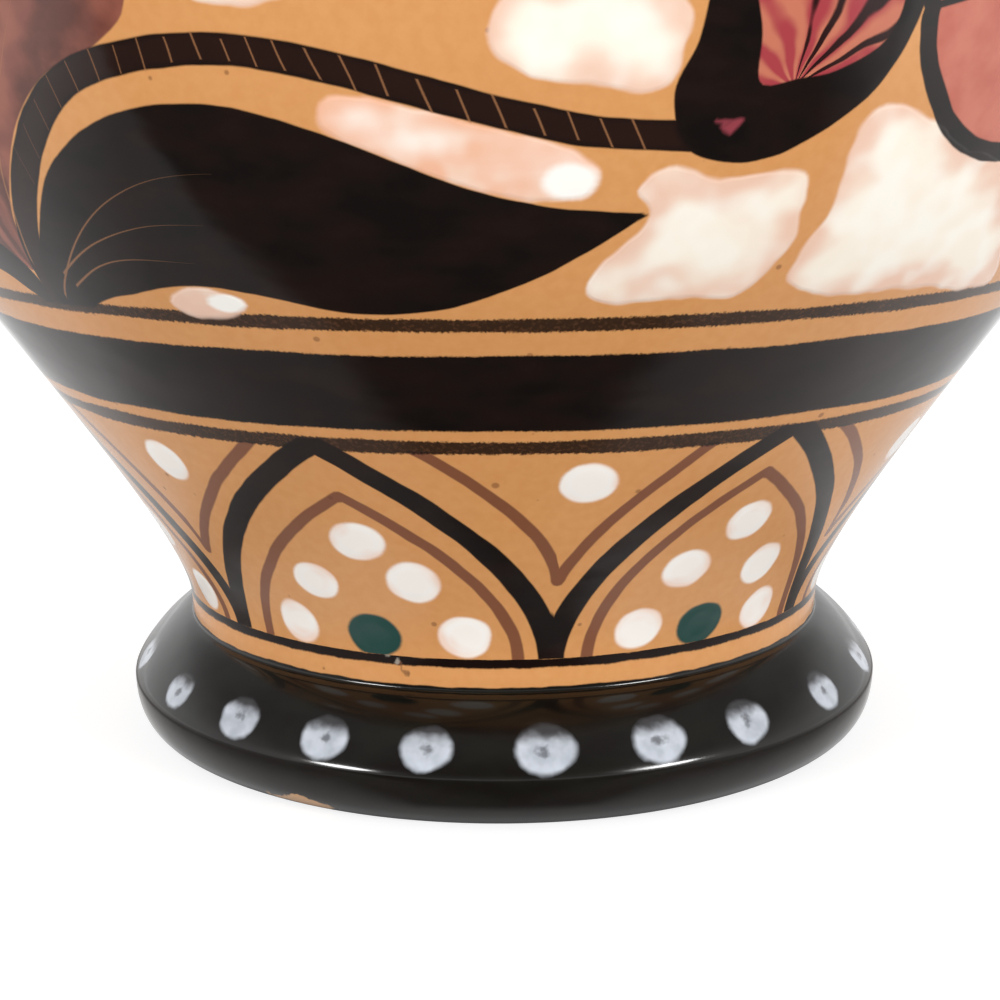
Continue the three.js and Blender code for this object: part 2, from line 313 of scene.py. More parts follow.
# How that wear is painted: the field's name, its colour, the size and detail of the noise that
# frays its edge, how far it frays, and the edge's softness and opacity.
FOOT_WEAR = (
    ("crack", "#6b4630", 1, 2, 0.3, 0.35, 0.75),
    ("chip", "#a3998c", 1.2, 2, 0.35, 0.3, 0.85),
    ("bare", "#c99a6b", 3, 3, 0.5, 0.15, 1),
)

# How far apart the iron specks in the ochre lie.
SPECK_SPACING = 4.2

# The row of dots round the foot, as (degrees, size): those the photograph shows, then an even row
# behind them.
FRONT_FOOT_DOTS = (
    (-78, 0.85), (-57.5, 0.85), (-41.4, 0.92), (-26, 0.94), (-10.8, 0.96), (5.5, 1.1), (21.7, 1.02),
    (36.7, 0.95), (55.1, 0.9), (74, 0.88),
)
BACK_FOOT_DOTS = 14
FOOT_DOT_HEIGHT = 10.2
FOOT_DOT_HALF = (3.35, 2.95)

# Radius at which the belly is unrolled into a flat sheet to paint on.
GIRTH_RADIUS = 84
# A field far from every shape, and how far from a shape's box its field is worked out.
FAR = 60
REACH = 14
# Points nearer to each other than the first of these, in millimetres, are one point. The second is
# kept clear at the ends of a stretch of wall, and the third is the slack of a share.
SAME_POINT, END_CLEARANCE, SHARE_SLACK = 1e-6, 1e-4, 1e-9
# Links to a span of a painted line, and to half an arch.
STEPS_PER_SPAN = 8
STEPS_PER_HALF_ARCH = 90

# Columns of vertices to half an arch, and rows: up the foot's four runs, down its throat and round
# its inner edge; up the lower body below and above a height, down its inside and round the fillet;
# up the outside and down the inside of the upper body and of the neck; round the lip's bead, down
# its throat and in all; and a handle's rings and the corners of each.
COLUMNS_PER_HALF_ARCH = 45
FOOT_ROWS = (24, 30, 24, 3)
THROAT_ROWS, EDGE_ROWS = 12, 5
LOWER_ROWS = (122, 19)
LOWER_ROWS_CHANGE = 96
LOWER_INSIDE_ROWS, FILLET_ROWS = 12, 6
UPPER_ROWS = (112, 24)
NECK_ROWS = (70, 24)
BEAD_ROWS, LIP_THROAT_ROWS, LIP_ROWS = 40, 20, 60
HANDLE_RINGS, HANDLE_CORNERS = 200, 72

# The camera, in metres, millimetres of lens and sensor, and degrees down and round.
CAMERA_PLACE = (-0.00044, -0.27667, 0.09480)
LENS = 72
SENSOR_WIDTH = 36
CLIP = (0.01, 20)
CAMERA_TILT = 13.373
CAMERA_ROLL = -0.42

# The lamps: name, degrees from the front and above the ground, metres away, size in metres and
# watts. They aim at a place on the vase, in metres.
LAMP_AIM = (0, 0, 0.05)
LAMPS = (
    ("left_softbox", -47, 13, 1.2, (0.36, 0.2), 7.1),
    ("right_softbox", 47, 13, 1.2, (0.42, 0.2), 8.1),
    ("top_softbox", 0, 88, 1.5, (1.0, 1.0), 12.6),
)

# What the glaze mirrors of the floor: a glow and a shade painted on the floor for reflected rays
# only. In metres from the axis or along X or Y: from, to, and the painted glow at those two where it
# isn't worked out. RIM_END has, in place of glow, how far out the painted rim glow fades to nothing
# straight ahead and at the sides. FRONT_FLOOR is where the painted shade darkens the floor. The floor
# is lifted to white by FLOOR_LIFT.
FLOOR_HALF = 6
FLOOR_LIFT = 0.8
NEAR_FLOOR = (0.064, 0.078, 0, 0.56)
OPEN_FLOOR = (0.18, 0.3)
SIDE_FLOOR = (0.09, 1.09, 0, 1)
BACK_FLOOR = (-0.07, 0, 0, 1)
FRONT_FLOOR = (-0.064, -0.05, 1, 0)
RIM_START = (0.049, 0.0515, 0, 0.9)
RIM_FADE = 0.0525
RIM_END = (0.012, 0.03, 0.0555, 0.066)

# The world's light, and how it dims with a direction's rise and on the photographer's side.
WORLD_LIGHT = 0.85
HORIZON = (0.06, 0.2, 1, 0.3)
OVERHEAD = (0.2, 0.55, 1, 0.35)
FRONT_SKY = (-0.9, -0.35)


def linear(colour):
    """The linear light of an sRGB hex colour: c/12.92, or ((c + 0.055)/1.055)^2.4 above 0.04045."""
    parts = [int(colour[i : i + 2], 16) / 255 for i in (1, 3, 5)]
    light = [c / 12.92 if c <= 0.04045 else ((c + 0.055) / 1.055) ** 2.4 for c in parts]
    return (*light, 1.0)


class VaseSizes(bpy.types.PropertyGroup):
    """Sizes of the painting that a user may change, in millimetres."""

    edge_softness: FloatProperty(
        name="Edge softness", description="How far a brushed edge fades, in millimetres",
        default=0.15, min=0.01, soft_max=1,
    )
    tooth: FloatProperty(
        name="Tooth", description="How ragged the wheel-painted edges are, in millimetres",
        default=0.1, min=0, soft_max=1,
    )
    scratch_width: FloatProperty(
        name="Scratch width", description="Width of a line scratched through the slip, in millimetres",
        default=0.3, min=0.05, soft_max=1,
    )


def slip_colour(name, description, colour):
    """A colour of the panel, from its sRGB hex value."""
    return FloatVectorProperty(
        name=name, description=description, default=linear(colour)[:3],
        subtype="COLOR", size=3, min=0, max=1,
    )


class VasePaints(bpy.types.PropertyGroup):
    """Colours of the slips under the glaze."""

    ochre: slip_colour("Ochre", "The ground", "#d6985f")
    black: slip_colour("Black", "The bands, the leaves and the foot", "#0e0806")
    brown: slip_colour("Brown", "The thin lines beside the arches", "#6f3f30")
    green: slip_colour("Green", "The dots in the feet of the arches", "#12403a")


def heading(degrees):
    """A direction in the plane of the outline, by its angle above straight outwards."""
    angle = math.radians(degrees)
    return np.array([math.cos(angle), math.sin(angle)])


def sweep(start, leave, end, arrive, holds, count=160):
    """A cubic curve (1-t)^3 a + 3(1-t)^2 t b + 3(1-t) t^2 c + t^3 d, where b and c lie along the
    directions at its two ends, at shares of the straight line between them."""
    start, end = np.asarray(start, float), np.asarray(end, float)
    span = np.linalg.norm(end - start)
    t = np.linspace(0, 1, count)[:, None]
    first = start + leave * holds[0] * span
    second = end - arrive * holds[1] * span
    return (1 - t) ** 3 * start + 3 * (1 - t) ** 2 * t * first + 3 * (1 - t) * t**2 * second + t**3 * end


def arc(centre, across, up, start, end, count=160):
    """Points on an ellipse about a centre: (across cos a, up sin a)."""
    angle = np.radians(np.linspace(start, end, count))
    return np.column_stack([centre[0] + across * np.cos(angle), centre[1] + up * np.sin(angle)])


def joined(*runs):
    """Runs of points end to end, leaving out a point that repeats the one before it."""
    line = np.vstack(runs)
    keep = np.r_[True, np.linalg.norm(np.diff(line, axis=0), axis=1) > SAME_POINT]
    return line[keep]


def along(line):
    """The length along a line up to each of its points."""
    return np.r_[0, np.cumsum(np.linalg.norm(np.diff(line, axis=0), axis=1))]


def even(line, count):
    """A line of count points, an equal length apart."""
    length = along(line)
    wanted = np.linspace(0, length[-1], count)
    return np.column_stack([np.interp(wanted, length, column) for column in line.T])


def inset(line, distance):
    """A line moved towards the axis, square to itself at each point."""
    slope = np.gradient(line, axis=0)
    slope /= np.linalg.norm(slope, axis=1)[:, None]
    return line + distance * np.column_stack([-slope[:, 1], slope[:, 0]])


def between(line, low, high):
    """The stretch of a rising line between two heights, with its ends exactly at them."""
    middle = line[(line[:, 1] > low + END_CLEARANCE) & (line[:, 1] < high - END_CLEARANCE)]
    ends = [[np.interp(height, line[:, 1], line[:, 0]), height] for height in (low, high)]
    return np.vstack([ends[0], middle, ends[1]])


def belly_point(degrees):
    """A point of the belly's ellipse and the upward direction there."""
    across, above = heading(degrees)
    rise = BELLY_DROP if degrees < 0 else BELLY_RISE
    slope = np.array([-BELLY_RADIUS * above, rise * across])
    return np.array([BELLY_RADIUS * across, BELLY_HEIGHT + rise * above]), slope / np.linalg.norm(slope)


UP, OUT, DOWN, IN = heading(90), heading(0), heading(270), heading(180)
BEAD_CENTRE = np.array([LIP_RADIUS - BEAD_RADIUS, VASE_HEIGHT - BEAD_RADIUS])
FLARE_END = BEAD_CENTRE + BEAD_RADIUS * heading(-FLARE_ANGLE)
SHOULDER_TOP = BELLY_HEIGHT + BELLY_RISE * math.sin(math.radians(SHOULDER_MEETS_NECK))
NARROWEST = (NECK_RADIUS, SHOULDER_TOP + NARROWEST_SHARE * (VASE_HEIGHT - SHOULDER_TOP))


def outer_wall():
    """The outside from the collar to the bead: a straightening cone, a globe of two half
    ellipses, a cove and a flare."""
    cone, cone_slope = belly_point(-CONE_MEETS_BELLY)
    shoulder, shoulder_slope = belly_point(SHOULDER_MEETS_NECK)
    belly = (0, BELLY_HEIGHT)
    return joined(
        sweep((COLLAR_RADIUS, COLLAR_HEIGHT), UP, cone, cone_slope, HOLDS["cone"]),
        arc(belly, BELLY_RADIUS, BELLY_DROP, -CONE_MEETS_BELLY, 0),
        arc(belly, BELLY_RADIUS, BELLY_RISE, 0, SHOULDER_MEETS_NECK),
        sweep(shoulder, shoulder_slope, NARROWEST, UP, HOLDS["cove"]),
        sweep(NARROWEST, UP, FLARE_END, heading(90 - FLARE_ANGLE), HOLDS["flare"]),
    )


def foot_runs():
    """The foot's outside from the stand to its seam in four runs: out under the flange to its
    round edge, in to the crease, round it to the collar, and up the collar."""
    slope = heading(180 - CREASE_ANGLE)
    edge = (FOOT_RADIUS, FOOT_EDGE_HEIGHT)
    crease = (COLLAR_RADIUS + CREASE_STEP, CREASE_HEIGHT)
    return (
        sweep((STAND_RADIUS, 0), OUT, edge, UP, HOLDS["stand"]),
        sweep(edge, UP, crease, slope, HOLDS["flange"]),
        sweep(crease, slope, (COLLAR_RADIUS, COLLAR_HEIGHT), UP, HOLDS["crease"]),
        between(OUTSIDE, COLLAR_HEIGHT, FOOT_SEAM),
    )


OUTSIDE = outer_wall()
INSIDE = inset(OUTSIDE, WALL)
CLIMB = along(OUTSIDE)


def climb(heights):
    """Millimetres up the wall from the collar to each height."""
    return np.interp(heights, OUTSIDE[:, 1], CLIMB)


def wall_radius(heights):
    """The outside radius at each height above the collar."""
    return np.interp(heights, OUTSIDE[:, 1], OUTSIDE[:, 0])


def column_angles():
    """The angles of the columns of vertices. Each foot and crown of an arch has a column of its
    own, so that the painted points stay sharp."""
    knots = np.sort(np.r_[ARCH_FEET, ARCH_CROWNS])
    steps = np.arange(COLUMNS_PER_HALF_ARCH) / COLUMNS_PER_HALF_ARCH
    return (knots[:-1, None] + np.diff(knots)[:, None] * steps).ravel()


ANGLES = column_angles()


def spot(angles, radii, heights):
    """Places in space from the angle, the radius and the height: (r sin a, -r cos a, z)."""
    turn = np.radians(angles)
    return np.column_stack([radii * np.sin(turn), -radii * np.cos(turn), heights])


def store(mesh, name, values):
    """Keeps a number for each vertex in the mesh under a name."""
    mesh.attributes.new(name, "FLOAT", "POINT").data.foreach_set("value", values.astype(np.float32))


def faces_between(low, high, columns):
    """The corners of the faces between closed rows of vertices, from the numbers of the rows."""
    here = np.arange(columns)
    there = (here + 1) % columns
    low, high = low[:, None] * columns, high[:, None] * columns
    corners = [low + here, low + there, high + there, high + here]
    return np.stack(corners, axis=2).reshape(-1, 4).tolist()


def new_piece(name, points, faces, smooth_below=50):
    """An object at the origin from points in millimetres, smooth but for edges sharper than an
    angle."""
    mesh = bpy.data.meshes.new(name)
    mesh.from_pydata((points * MM).tolist(), [], faces)
    mesh.shade_smooth()
    mesh.set_sharp_from_angle(angle=math.radians(smooth_below))
    piece = bpy.data.objects.new(name, mesh)
    bpy.context.scene.collection.objects.link(piece)
    return piece


def turned(name, runs):
    """A surface of revolution about +Z. The runs, each a material and points of (radius, height),
    follow each other up the outside and down the inside; an end on the axis becomes a pole, and
    otherwise the last point joins the first. Returns the piece and each vertex's (angle, radius,
    height)."""
    outline = np.vstack([points for _, points in runs])
    finish = np.concatenate([np.full(len(points), i) for i, (_, points) in enumerate(runs)])
    poles = outline[:, 0] < SAME_POINT
    rings, finish_of_ring = outline[~poles], finish[~poles]
    columns = len(ANGLES)
    angle = np.tile(ANGLES, len(rings))
    radius, height = np.repeat(rings, columns, axis=0).T
    low = np.arange(len(rings) - 1 if poles.any() else len(rings))
    faces = faces_between(low, (low + 1) % len(rings), columns)
    here = np.arange(columns)
    indices = np.repeat(finish_of_ring[: len(low)], columns).tolist()
    chart = np.column_stack([angle, radius, height])
    for row in np.flatnonzero(poles):
        pole = len(chart)
        chart = np.vstack([chart, [0, 0, outline[row, 1]]])
        ring = here if row == 0 else (len(rings) - 1) * columns + here
        pair = np.roll(ring, -1)
        corners = (pair, ring) if row == 0 else (ring, pair)
        faces += np.column_stack([*corners, np.full(columns, pole)]).tolist()
        indices += [int(finish[row if row == 0 else row - 1])] * columns
    piece = new_piece(name, spot(*chart.T), faces)
    for material, _ in runs:
        piece.data.materials.append(material)
    piece.data.polygons.foreach_set("material_index", indices)
    return piece, chart


def unrolled(angles, heights):
    """The belly as a flat sheet: millimetres along its girth and up its wall."""
    return np.column_stack([np.radians(angles) * GIRTH_RADIUS, climb(heights)])


def through(points, closed):
    """A smooth line through (degrees, height) points on the unrolled belly. On the span from b to
    c, with a before and d after, it is b + t(c-a)/2 + t^2(2a-5b+4c-d)/2 + t^3(3b-3c+d-a)/2. A
    point that is given twice is a corner."""
    knots = unrolled(*np.array(points, float).T)
    if closed:
        a, b, c, d = (np.roll(knots, shift, axis=0) for shift in (1, 0, -1, -2))
    else:
        padded = np.vstack([2 * knots[0] - knots[1], knots, 2 * knots[-1] - knots[-2]])
        a, b, c, d = padded[:-3], padded[1:-2], padded[2:-1], padded[3:]
    t = np.linspace(0, 1, STEPS_PER_SPAN, endpoint=False)[None, :, None]
    a, b, c, d = (k[:, None, :] for k in (a, b, c, d))
    bend, turn = 2 * a - 5 * b + 4 * c - d, 3 * b - 3 * c + d - a
    line = b + t * (c - a) / 2 + t**2 * bend / 2 + t**3 * turn / 2
    last = line[0, :1] if closed else knots[-1:]
    spans = np.abs(c - b).sum(2)[:, 0] > 0
    return np.vstack([line[spans].reshape(-1, 2), last])


def nearest(points, line):
    """The vector from the nearest place on a chain of links to each point, that link's direction
    and how far along the chain it is."""
    starts, links = line[:-1], np.diff(line, axis=0)
    gaps = points[:, None, :] - starts
    share = np.clip((gaps * links).sum(2) / (links**2).sum(1), 0, 1)
    gaps = gaps - share[:, :, None] * links
    link = (gaps**2).sum(2).argmin(1)
    rows = np.arange(len(points))
    reached = along(line)[link] + share[rows, link] * np.linalg.norm(links[link], axis=1)
    return gaps[rows, link], links[link], reached


def near(points, line):
    """Which points lie within reach of a line's box."""
    return ((points > line.min(0) - REACH) & (points < line.max(0) + REACH)).all(1)


def enclosed(points, line):
    """Which points a closed line goes round: a ray to the right crosses it an odd number of times."""
    (x, y), (a, b) = points.T[:, :, None], (line[:-1].T, line[1:].T)
    level = (a[1] > y) != (b[1] > y)
    rise = np.where(level, b[1] - a[1], 1)
    crossing = a[0] + (y - a[1]) / rise * (b[0] - a[0])
    return (level & (x < crossing)).sum(1) % 2 == 1


def shapes_field(points, outlines):
    """Millimetres to the edge of the nearest of several closed shapes, above zero inside them."""
    field = np.full(len(points), -float(FAR))
    for outline in outlines:
        line = through(outline, True)
        close = near(points, line)
        gap = np.linalg.norm(nearest(points[close], line)[0], axis=1)
        own = np.where(enclosed(points[close], line), gap, -gap)
        field[close] = np.maximum(field[close], own)
    return field


def line_fields(points, knots):
    """The distance to an open line, the same with a sign that is above zero on the line's left,
    and the length along it."""
    away, side, reached = np.full(len(points), float(FAR)), np.zeros(len(points)), np.zeros(len(points))
    line = through(knots, False)
    close = near(points, line)
    gap, link, length = nearest(points[close], line)
    away[close] = np.linalg.norm(gap, axis=1)
    side[close] = np.sign(link[:, 0] * gap[:, 1] - link[:, 1] * gap[:, 0]) * away[close]
    reached[close] = length
    return away, side, reached


def dots_field(chart, dots, rise_of=climb):
    """For each vertex, its distance to the nearest dot's centre, where 1 is the dot's edge, and
    how far above that centre it is in the same measure. A dot is (degrees, height, half width,
    half height), measured round the vase and up its wall."""
    angle, radius, height = chart.T
    best, rise = np.full(len(chart), float(FAR)), np.zeros(len(chart))
    for degrees, level, half_width, half_height in dots:
        turn = (angle - degrees + 180) % 360 - 180
        across = np.radians(turn) * radius / half_width
        above = (rise_of(height) - rise_of(level)) / half_height
        away = np.hypot(across, above)
        rise = np.where(away < best, above, rise)
        best = np.minimum(best, away)
    return best, rise


def store_dots(piece, chart, dots, rise_of=climb):
    """Stores the fields of a row of dots."""
    away, above = dots_field(chart, dots, rise_of)
    store(piece.data, "dot", away)
    store(piece.data, "dot_rise", above)


def even_row(count, height, half_width, half_height):
    """Dots an equal angle apart right round the vase."""
    return [(360 * number / count, height, half_width, half_height) for number in range(count)]


def between_arches(span, height):
    """The height in a row of arches that stands for one in the row above the foot."""
    return span[0] + (height - ARCH_SPAN[0]) / (ARCH_SPAN[1] - ARCH_SPAN[0]) * (span[1] - span[0])


def arch_field(chart, span, low, sides):
    """Millimetres outside the line of the nearest arch, below zero inside it. From an arch's tip
    (x = 0) to its foot (x = 1) the line stands at low + (high - low)(1 - x)^power."""
    height = chart[:, 2]
    upright = np.sign(span[1] - span[0])
    low = between_arches(span, low)
    highs = [between_arches(span, high) for _, _, high, _ in sides]
    field = FAR * np.where((height - (low + highs[0]) / 2) * upright > 0, 1.0, -1.0)
    within = (height > min(low, *highs) - REACH / 2) & (height < max(low, *highs) + REACH / 2)
    x = 1 - np.linspace(1, 0, STEPS_PER_HALF_ARCH) ** 2
    for number in range(2 * len(ARCH_CROWNS)):
        past, short, _, power = sides[number % len(sides)]
        high = highs[number % len(sides)]
        tip = ARCH_CROWNS[number // 2] + past
        foot = ARCH_FEET[(number + 1) // 2]
        share = (chart[:, 0] - tip) / (foot - tip)
        mine = np.flatnonzero(within & (share >= -SHARE_SLACK) & (share <= 1 + SHARE_SLACK))
        reach = 1 - short / abs(foot - tip)
        levels = low + (high - low) * (1 - x) ** power
        line = spot(tip + (foot - tip) * reach * x, wall_radius(levels), levels)
        gap = np.linalg.norm(nearest(spot(*chart[mine].T), line)[0], axis=1)
        level = low + (high - low) * np.clip(1 - share[mine] / reach, 0, 1) ** power
        field[mine] = gap * np.where((height[mine] - level) * upright > 0, 1, -1)
    return field


def arch_dots(span, patterns):
    """The dots of every arch in a row of arches."""
    return [
        (crown + degrees, between_arches(span, height), half_width, half_height)
        for number, crown in enumerate(ARCH_CROWNS)
        for degrees, height, half_width, half_height in patterns[number % len(patterns)]
    ]


def spandrel_dots(span):
    """A dot above each arch's foot, between two arches."""
    return [
        (foot + degrees, between_arches(span, height), half_width, half_height)
        for foot, (degrees, height, half_width, half_height) in zip(ARCH_FEET[:-1], cycle(SPANDREL_DOTS))
    ]


def leaf_fields(points):
    """Fields of the long leaves: t runs along the midrib from base to tip, which bows by
    4 t (1 - t), and half the width is sin(pi t)^0.8 of its most. They are the distance to the
    edge and the one across the midrib."""
    field, across = np.full(len(points), -float(FAR)), np.full(len(points), float(FAR))
    for base, tip, width, bow in LEAVES:
        start, end = unrolled(*np.array([base, tip], float).T)
        length = np.linalg.norm(end - start)
        axis = (end - start) / length
        offset = points - start
        t = offset @ axis / length
        inside = np.clip(t, 0, 1)
        side = offset @ np.array([-axis[1], axis[0]]) - bow * 4 * inside * (1 - inside)
        beyond = np.maximum(np.maximum(-t, t - 1), 0) * length
        here = width / 2 * np.sin(np.pi * inside) ** 0.8 - np.hypot(side, beyond)
        across = np.where(here > field, side, across)
        field = np.maximum(field, here)
    return {"long_leaf": field, "long_leaf_across": across}


def rosette_fields(points):
    """Fields of the round flowers. At an angle f from the first petal the edge is at
    R (1 - notch (1 - |cos(n f / 2)|^0.5)). They are the distance to the edge, the distance from
    the nearest flower's centre over its radius, the place from its centre, turned so that the
    first petal lies at zero, and half the number of its petals."""
    names = ("rosette", "rosette_share", "rosette_x", "rosette_y", "rosette_half_petals")
    fields = {name: np.full(len(points), value) for name, value in zip(names, (-FAR, FAR, FAR, 0.0, 1.0))}
    for centre, radius, petals, turn, notch in ROSETTES:
        offset = points - unrolled(*np.array([centre], float).T)
        away = np.hypot(*offset.T)
        angle = np.arctan2(offset[:, 1], offset[:, 0]) - math.radians(turn)
        lobe = np.abs(np.cos(petals * angle / 2)) ** 0.5
        here = radius * (1 - notch * (1 - lobe)) - away
        mine = here > fields["rosette"]
        own = (here, away / radius, away * np.cos(angle), away * np.sin(angle), petals / 2)
        for name, values in zip(names, own):
            fields[name] = np.where(mine, values, fields[name])
    return fields


def paint_belly(piece, chart):
    """Stores every field of the painting on the belly, front and back alike, and of the arches."""
    angle, _, height = chart.T
    face = (angle + 90) % 180 - 90
    points = unrolled(face, height)
    fields = {"girth": points[:, 0], "rise": points[:, 1]}
    for name, outlines in SHAPES.items():
        fields[name] = shapes_field(points, outlines)
    fields |= leaf_fields(points) | rosette_fields(points)
    fields["stem_away"], _, fields["stem_length"] = line_fields(points, STEM)
    for number, vein in enumerate(VEINS):
        fields[f"vein_{number}_away"], fields[f"vein_{number}"], _ = line_fields(points, vein)
    below = height < BELLY_HEIGHT
    spans = (ARCH_SPAN, SHOULDER_SPAN)
    for name, (_, low, sides) in ARCH_LINES.items():
        fields[name] = np.where(below, *(arch_field(chart, span, low, sides) for span in spans))
    for name, end in (("arch_open", OUTER_LINE_END), ("arch_crown", BLACK_LINE_END)):
        lower, upper = (between_arches(span, end) for span in spans)
        fields[name] = np.where(below, lower - height, height - upper)
    face_chart = np.column_stack([face, np.full(len(chart), float(GIRTH_RADIUS)), height])
    green = [dot for span in spans for dot in arch_dots(span, GREEN_DOTS)]
    fields["touch"] = dots_field(face_chart, WHITE_TOUCHES)[0]
    fields["green_dot"] = dots_field(chart, green)[0]
    for name, values in fields.items():
        store(piece.data, name, values)
    white = [dot for span in spans for dot in arch_dots(span, ARCH_DOTS) + spandrel_dots(span)]
    store_dots(piece, chart, white)


def add_node(tree, kind, inputs=None, **settings):
    """Adds a node with its settings. An input that is a field or a socket is linked, a hex colour
    is set as linear light, and any other is set as it is."""
    node = tree.nodes.new(kind)
    for name, value in settings.items():
        setattr(node, name, value)
    for key, value in (inputs or {}).items():
        value = getattr(value, "socket", value)
        if isinstance(value, bpy.types.NodeSocket):
            tree.links.new(value, node.inputs[key])
        else:
            node.inputs[key].default_value = linear(value) if isinstance(value, str) else value
    return node


class Field:
    """A number that varies over a surface, held as a node's socket. Arithmetic adds Math nodes."""

    def __init__(self, socket):
        self.socket = socket
        self.tree = socket.id_data

    def worked_out(self, operation, *values):
        """The field that an operation makes of some values."""
        node = add_node(self.tree, "ShaderNodeMath", dict(enumerate(values)), operation=operation)
        return Field(node.outputs[0])

    def put(self, operation, *others):
        """The field that an operation makes of this number and others."""
        return self.worked_out(operation, self, *others)

    def __add__(self, other):
        return self.put("ADD", other)

    def __sub__(self, other):
        return self.put("SUBTRACT", other)

    def __rsub__(self, other):
        return self.worked_out("SUBTRACT", other, self)

    def __mul__(self, other):
        return self.put("MULTIPLY", other)

    def __truediv__(self, other):
        return self.put("DIVIDE", other)

    def __abs__(self):
        return self.put("ABSOLUTE", 0)


def most(*fields, operation="MAXIMUM"):
    """The highest of several fields."""
    best, *others = fields
    for field in others:
        best = best.put(operation, field)
    return best


def least(*fields):
    """The lowest of several fields."""
    return most(*fields, operation="MINIMUM")


def rescaled(field, low, high, first, last, curve="LINEAR"):
    """A field carried from one range to another and held there."""
    ends = dict(enumerate((field, low, high, first, last)))
    return Field(add_node(field.tree, "ShaderNodeMapRange", ends, interpolation_type=curve).outputs[0])


def moved(field, noise, amount):
    """A field moved by an amount of noise."""
    return noise.put("MULTIPLY_ADD", amount, field)


def line_field(value, middle, half_width):
    """The field of a line: half its width less the distance of a value from its middle."""
    return half_width - abs(value - middle)


def stored(tree, name):
    """The field that a mesh keeps under a name."""
    return Field(add_node(tree, "ShaderNodeAttribute", attribute_name=name).outputs["Fac"])


def dot_field(tree, name):
    """The field of a row of dots: one at a dot's centre, nothing at its edge."""
    return 1 - stored(tree, name)


def place_of(tree, kind="Object"):
    """The three coordinates of a place, in metres."""
    place = add_node(tree, "ShaderNodeTexCoord").outputs[kind]
    return [Field(part) for part in add_node(tree, "ShaderNodeSeparateXYZ", {0: place}).outputs]


def height_of(tree):
    """The height above the ground in millimetres."""
    return place_of(tree)[2] * (1 / MM)


def grain(tree, size, detail=2.0, stretch=(1, 1, 1)):
    """Noise from -1 to 1 about zero, with its features a size in millimetres across."""
    place = add_node(tree, "ShaderNodeTexCoord").outputs["Object"]
    scaled = add_node(tree, "ShaderNodeMapping", {"Vector": place, "Scale": stretch}).outputs[0]
    settings = {"Vector": scaled, "Scale": 1 / (size * MM), "Detail": detail}
    return rescaled(Field(add_node(tree, "ShaderNodeTexNoise", settings).outputs[0]), 0.3, 0.7, -1, 1)


# The sockets of a colour Mix node.
FACTOR, UNDER, OVER, MIXED = 0, 6, 7, 2


def brushed(under, over, field, softness, opacity=1.0):
    """A paint laid over another where its field is above zero, with an edge as soft as given."""
    cover = rescaled(field, -softness, softness, 0, opacity, "SMOOTHSTEP")
    inputs = {FACTOR: cover, UNDER: under, OVER: over}
    return add_node(field.tree, "ShaderNodeMix", inputs, data_type="RGBA").outputs[MIXED]


def paint(name):
    """A slip's colour, as the panel holds it."""
    return (*getattr(bpy.context.scene.vase_paints, name), 1.0)


def blank(name):
    """A material with an empty node tree, and that tree."""
    material = bpy.data.materials.new(name)
    material.use_nodes = True
    material.node_tree.nodes.clear()
    return material, material.node_tree


def shaded(tree, **settings):
    """Ends a material with a shader. A setting's name is its socket's, with _ for a space."""
    inputs = {name.replace("_", " "): value for name, value in settings.items()}
    shader = add_node(tree, "ShaderNodeBsdfPrincipled", inputs)
    add_node(tree, "ShaderNodeOutputMaterial", {"Surface": shader.outputs[0]})


def glazed(tree, colour, raised=None, rough=(0.06, 0.12)):
    """Clear glaze fired over the slips: a hard wet gloss, a little uneven from the throwing and
    the dipping, and lifted a tenth of a millimetre where the slip under it is thick."""
    surface = moved(grain(tree, 11, 2, (0.4, 0.4, 1)), grain(tree, 2.6, 1, (0.5, 0.5, 1)), 0.16)
    if raised is not None:
        surface = moved(surface, raised, 1.6)
    lift = {"Strength": 0.35, "Distance": 0.1 * MM, "Height": surface}
    normal = add_node(tree, "ShaderNodeBump", lift).outputs[0]
    shine = rescaled(grain(tree, 14, 3), -1, 1, *rough)
    shaded(tree, Base_Color=colour, Roughness=shine, IOR=1.5, Specular_IOR_Level=0.42, Normal=normal)


def ochre_ground(tree):
    """Ochre slip under the glaze: cloudy from the brush, with pores and fine iron specks."""
    cloud = grain(tree, 26, 3)
    ground = brushed(paint("ochre"), "#dfa468", cloud, 1.4, 0.5)
    ground = brushed(ground, "#c98446", moved(grain(tree, 1.3, 3), cloud, 0.4), 1.6, 0.32)
    place = add_node(tree, "ShaderNodeTexCoord").outputs["Object"]
    cells = add_node(tree, "ShaderNodeTexVoronoi", {"Vector": place, "Scale": 1 / (SPECK_SPACING * MM)})
    size = rescaled(grain(tree, 9), -1, 1, -0.03, 0.13)
    return brushed(ground, "#7e4d2e", size - Field(cells.outputs[0]), 0.03, 0.6)


def slip_black(tree, thin="#21120d"):
    """Brown-black slip: almost black, and another colour where the brush left it thin."""
    return brushed(paint("black"), thin, grain(tree, 7, 3, (1, 1, 2.2)), 1.1, 0.7)


def wheel_lines(tree, colour, browns, blacks):
    """Lines painted against the turning wheel, with edges as ragged as the brush's hairs."""
    sizes = bpy.context.scene.vase_sizes
    height = height_of(tree)
    hairs, wander = grain(tree, 0.34, 1, (1, 1, 0.5)), grain(tree, 13, 2)
    brown, black = (
        moved(moved(most(*(line_field(height, *line) for line in lines)), wander, 0.14), hairs, tooth)
        for lines, tooth in ((browns, sizes.tooth), (blacks, sizes.tooth * 0.6))
    )
    thin = brushed("#1b0f0b", "#503223", moved(-0.7, grain(tree, 0.45, 1), 1), 0.9, 0.8)
    colour = brushed(colour, thin, brown, sizes.edge_softness, 0.96)
    return brushed(colour, slip_black(tree), black, sizes.edge_softness)


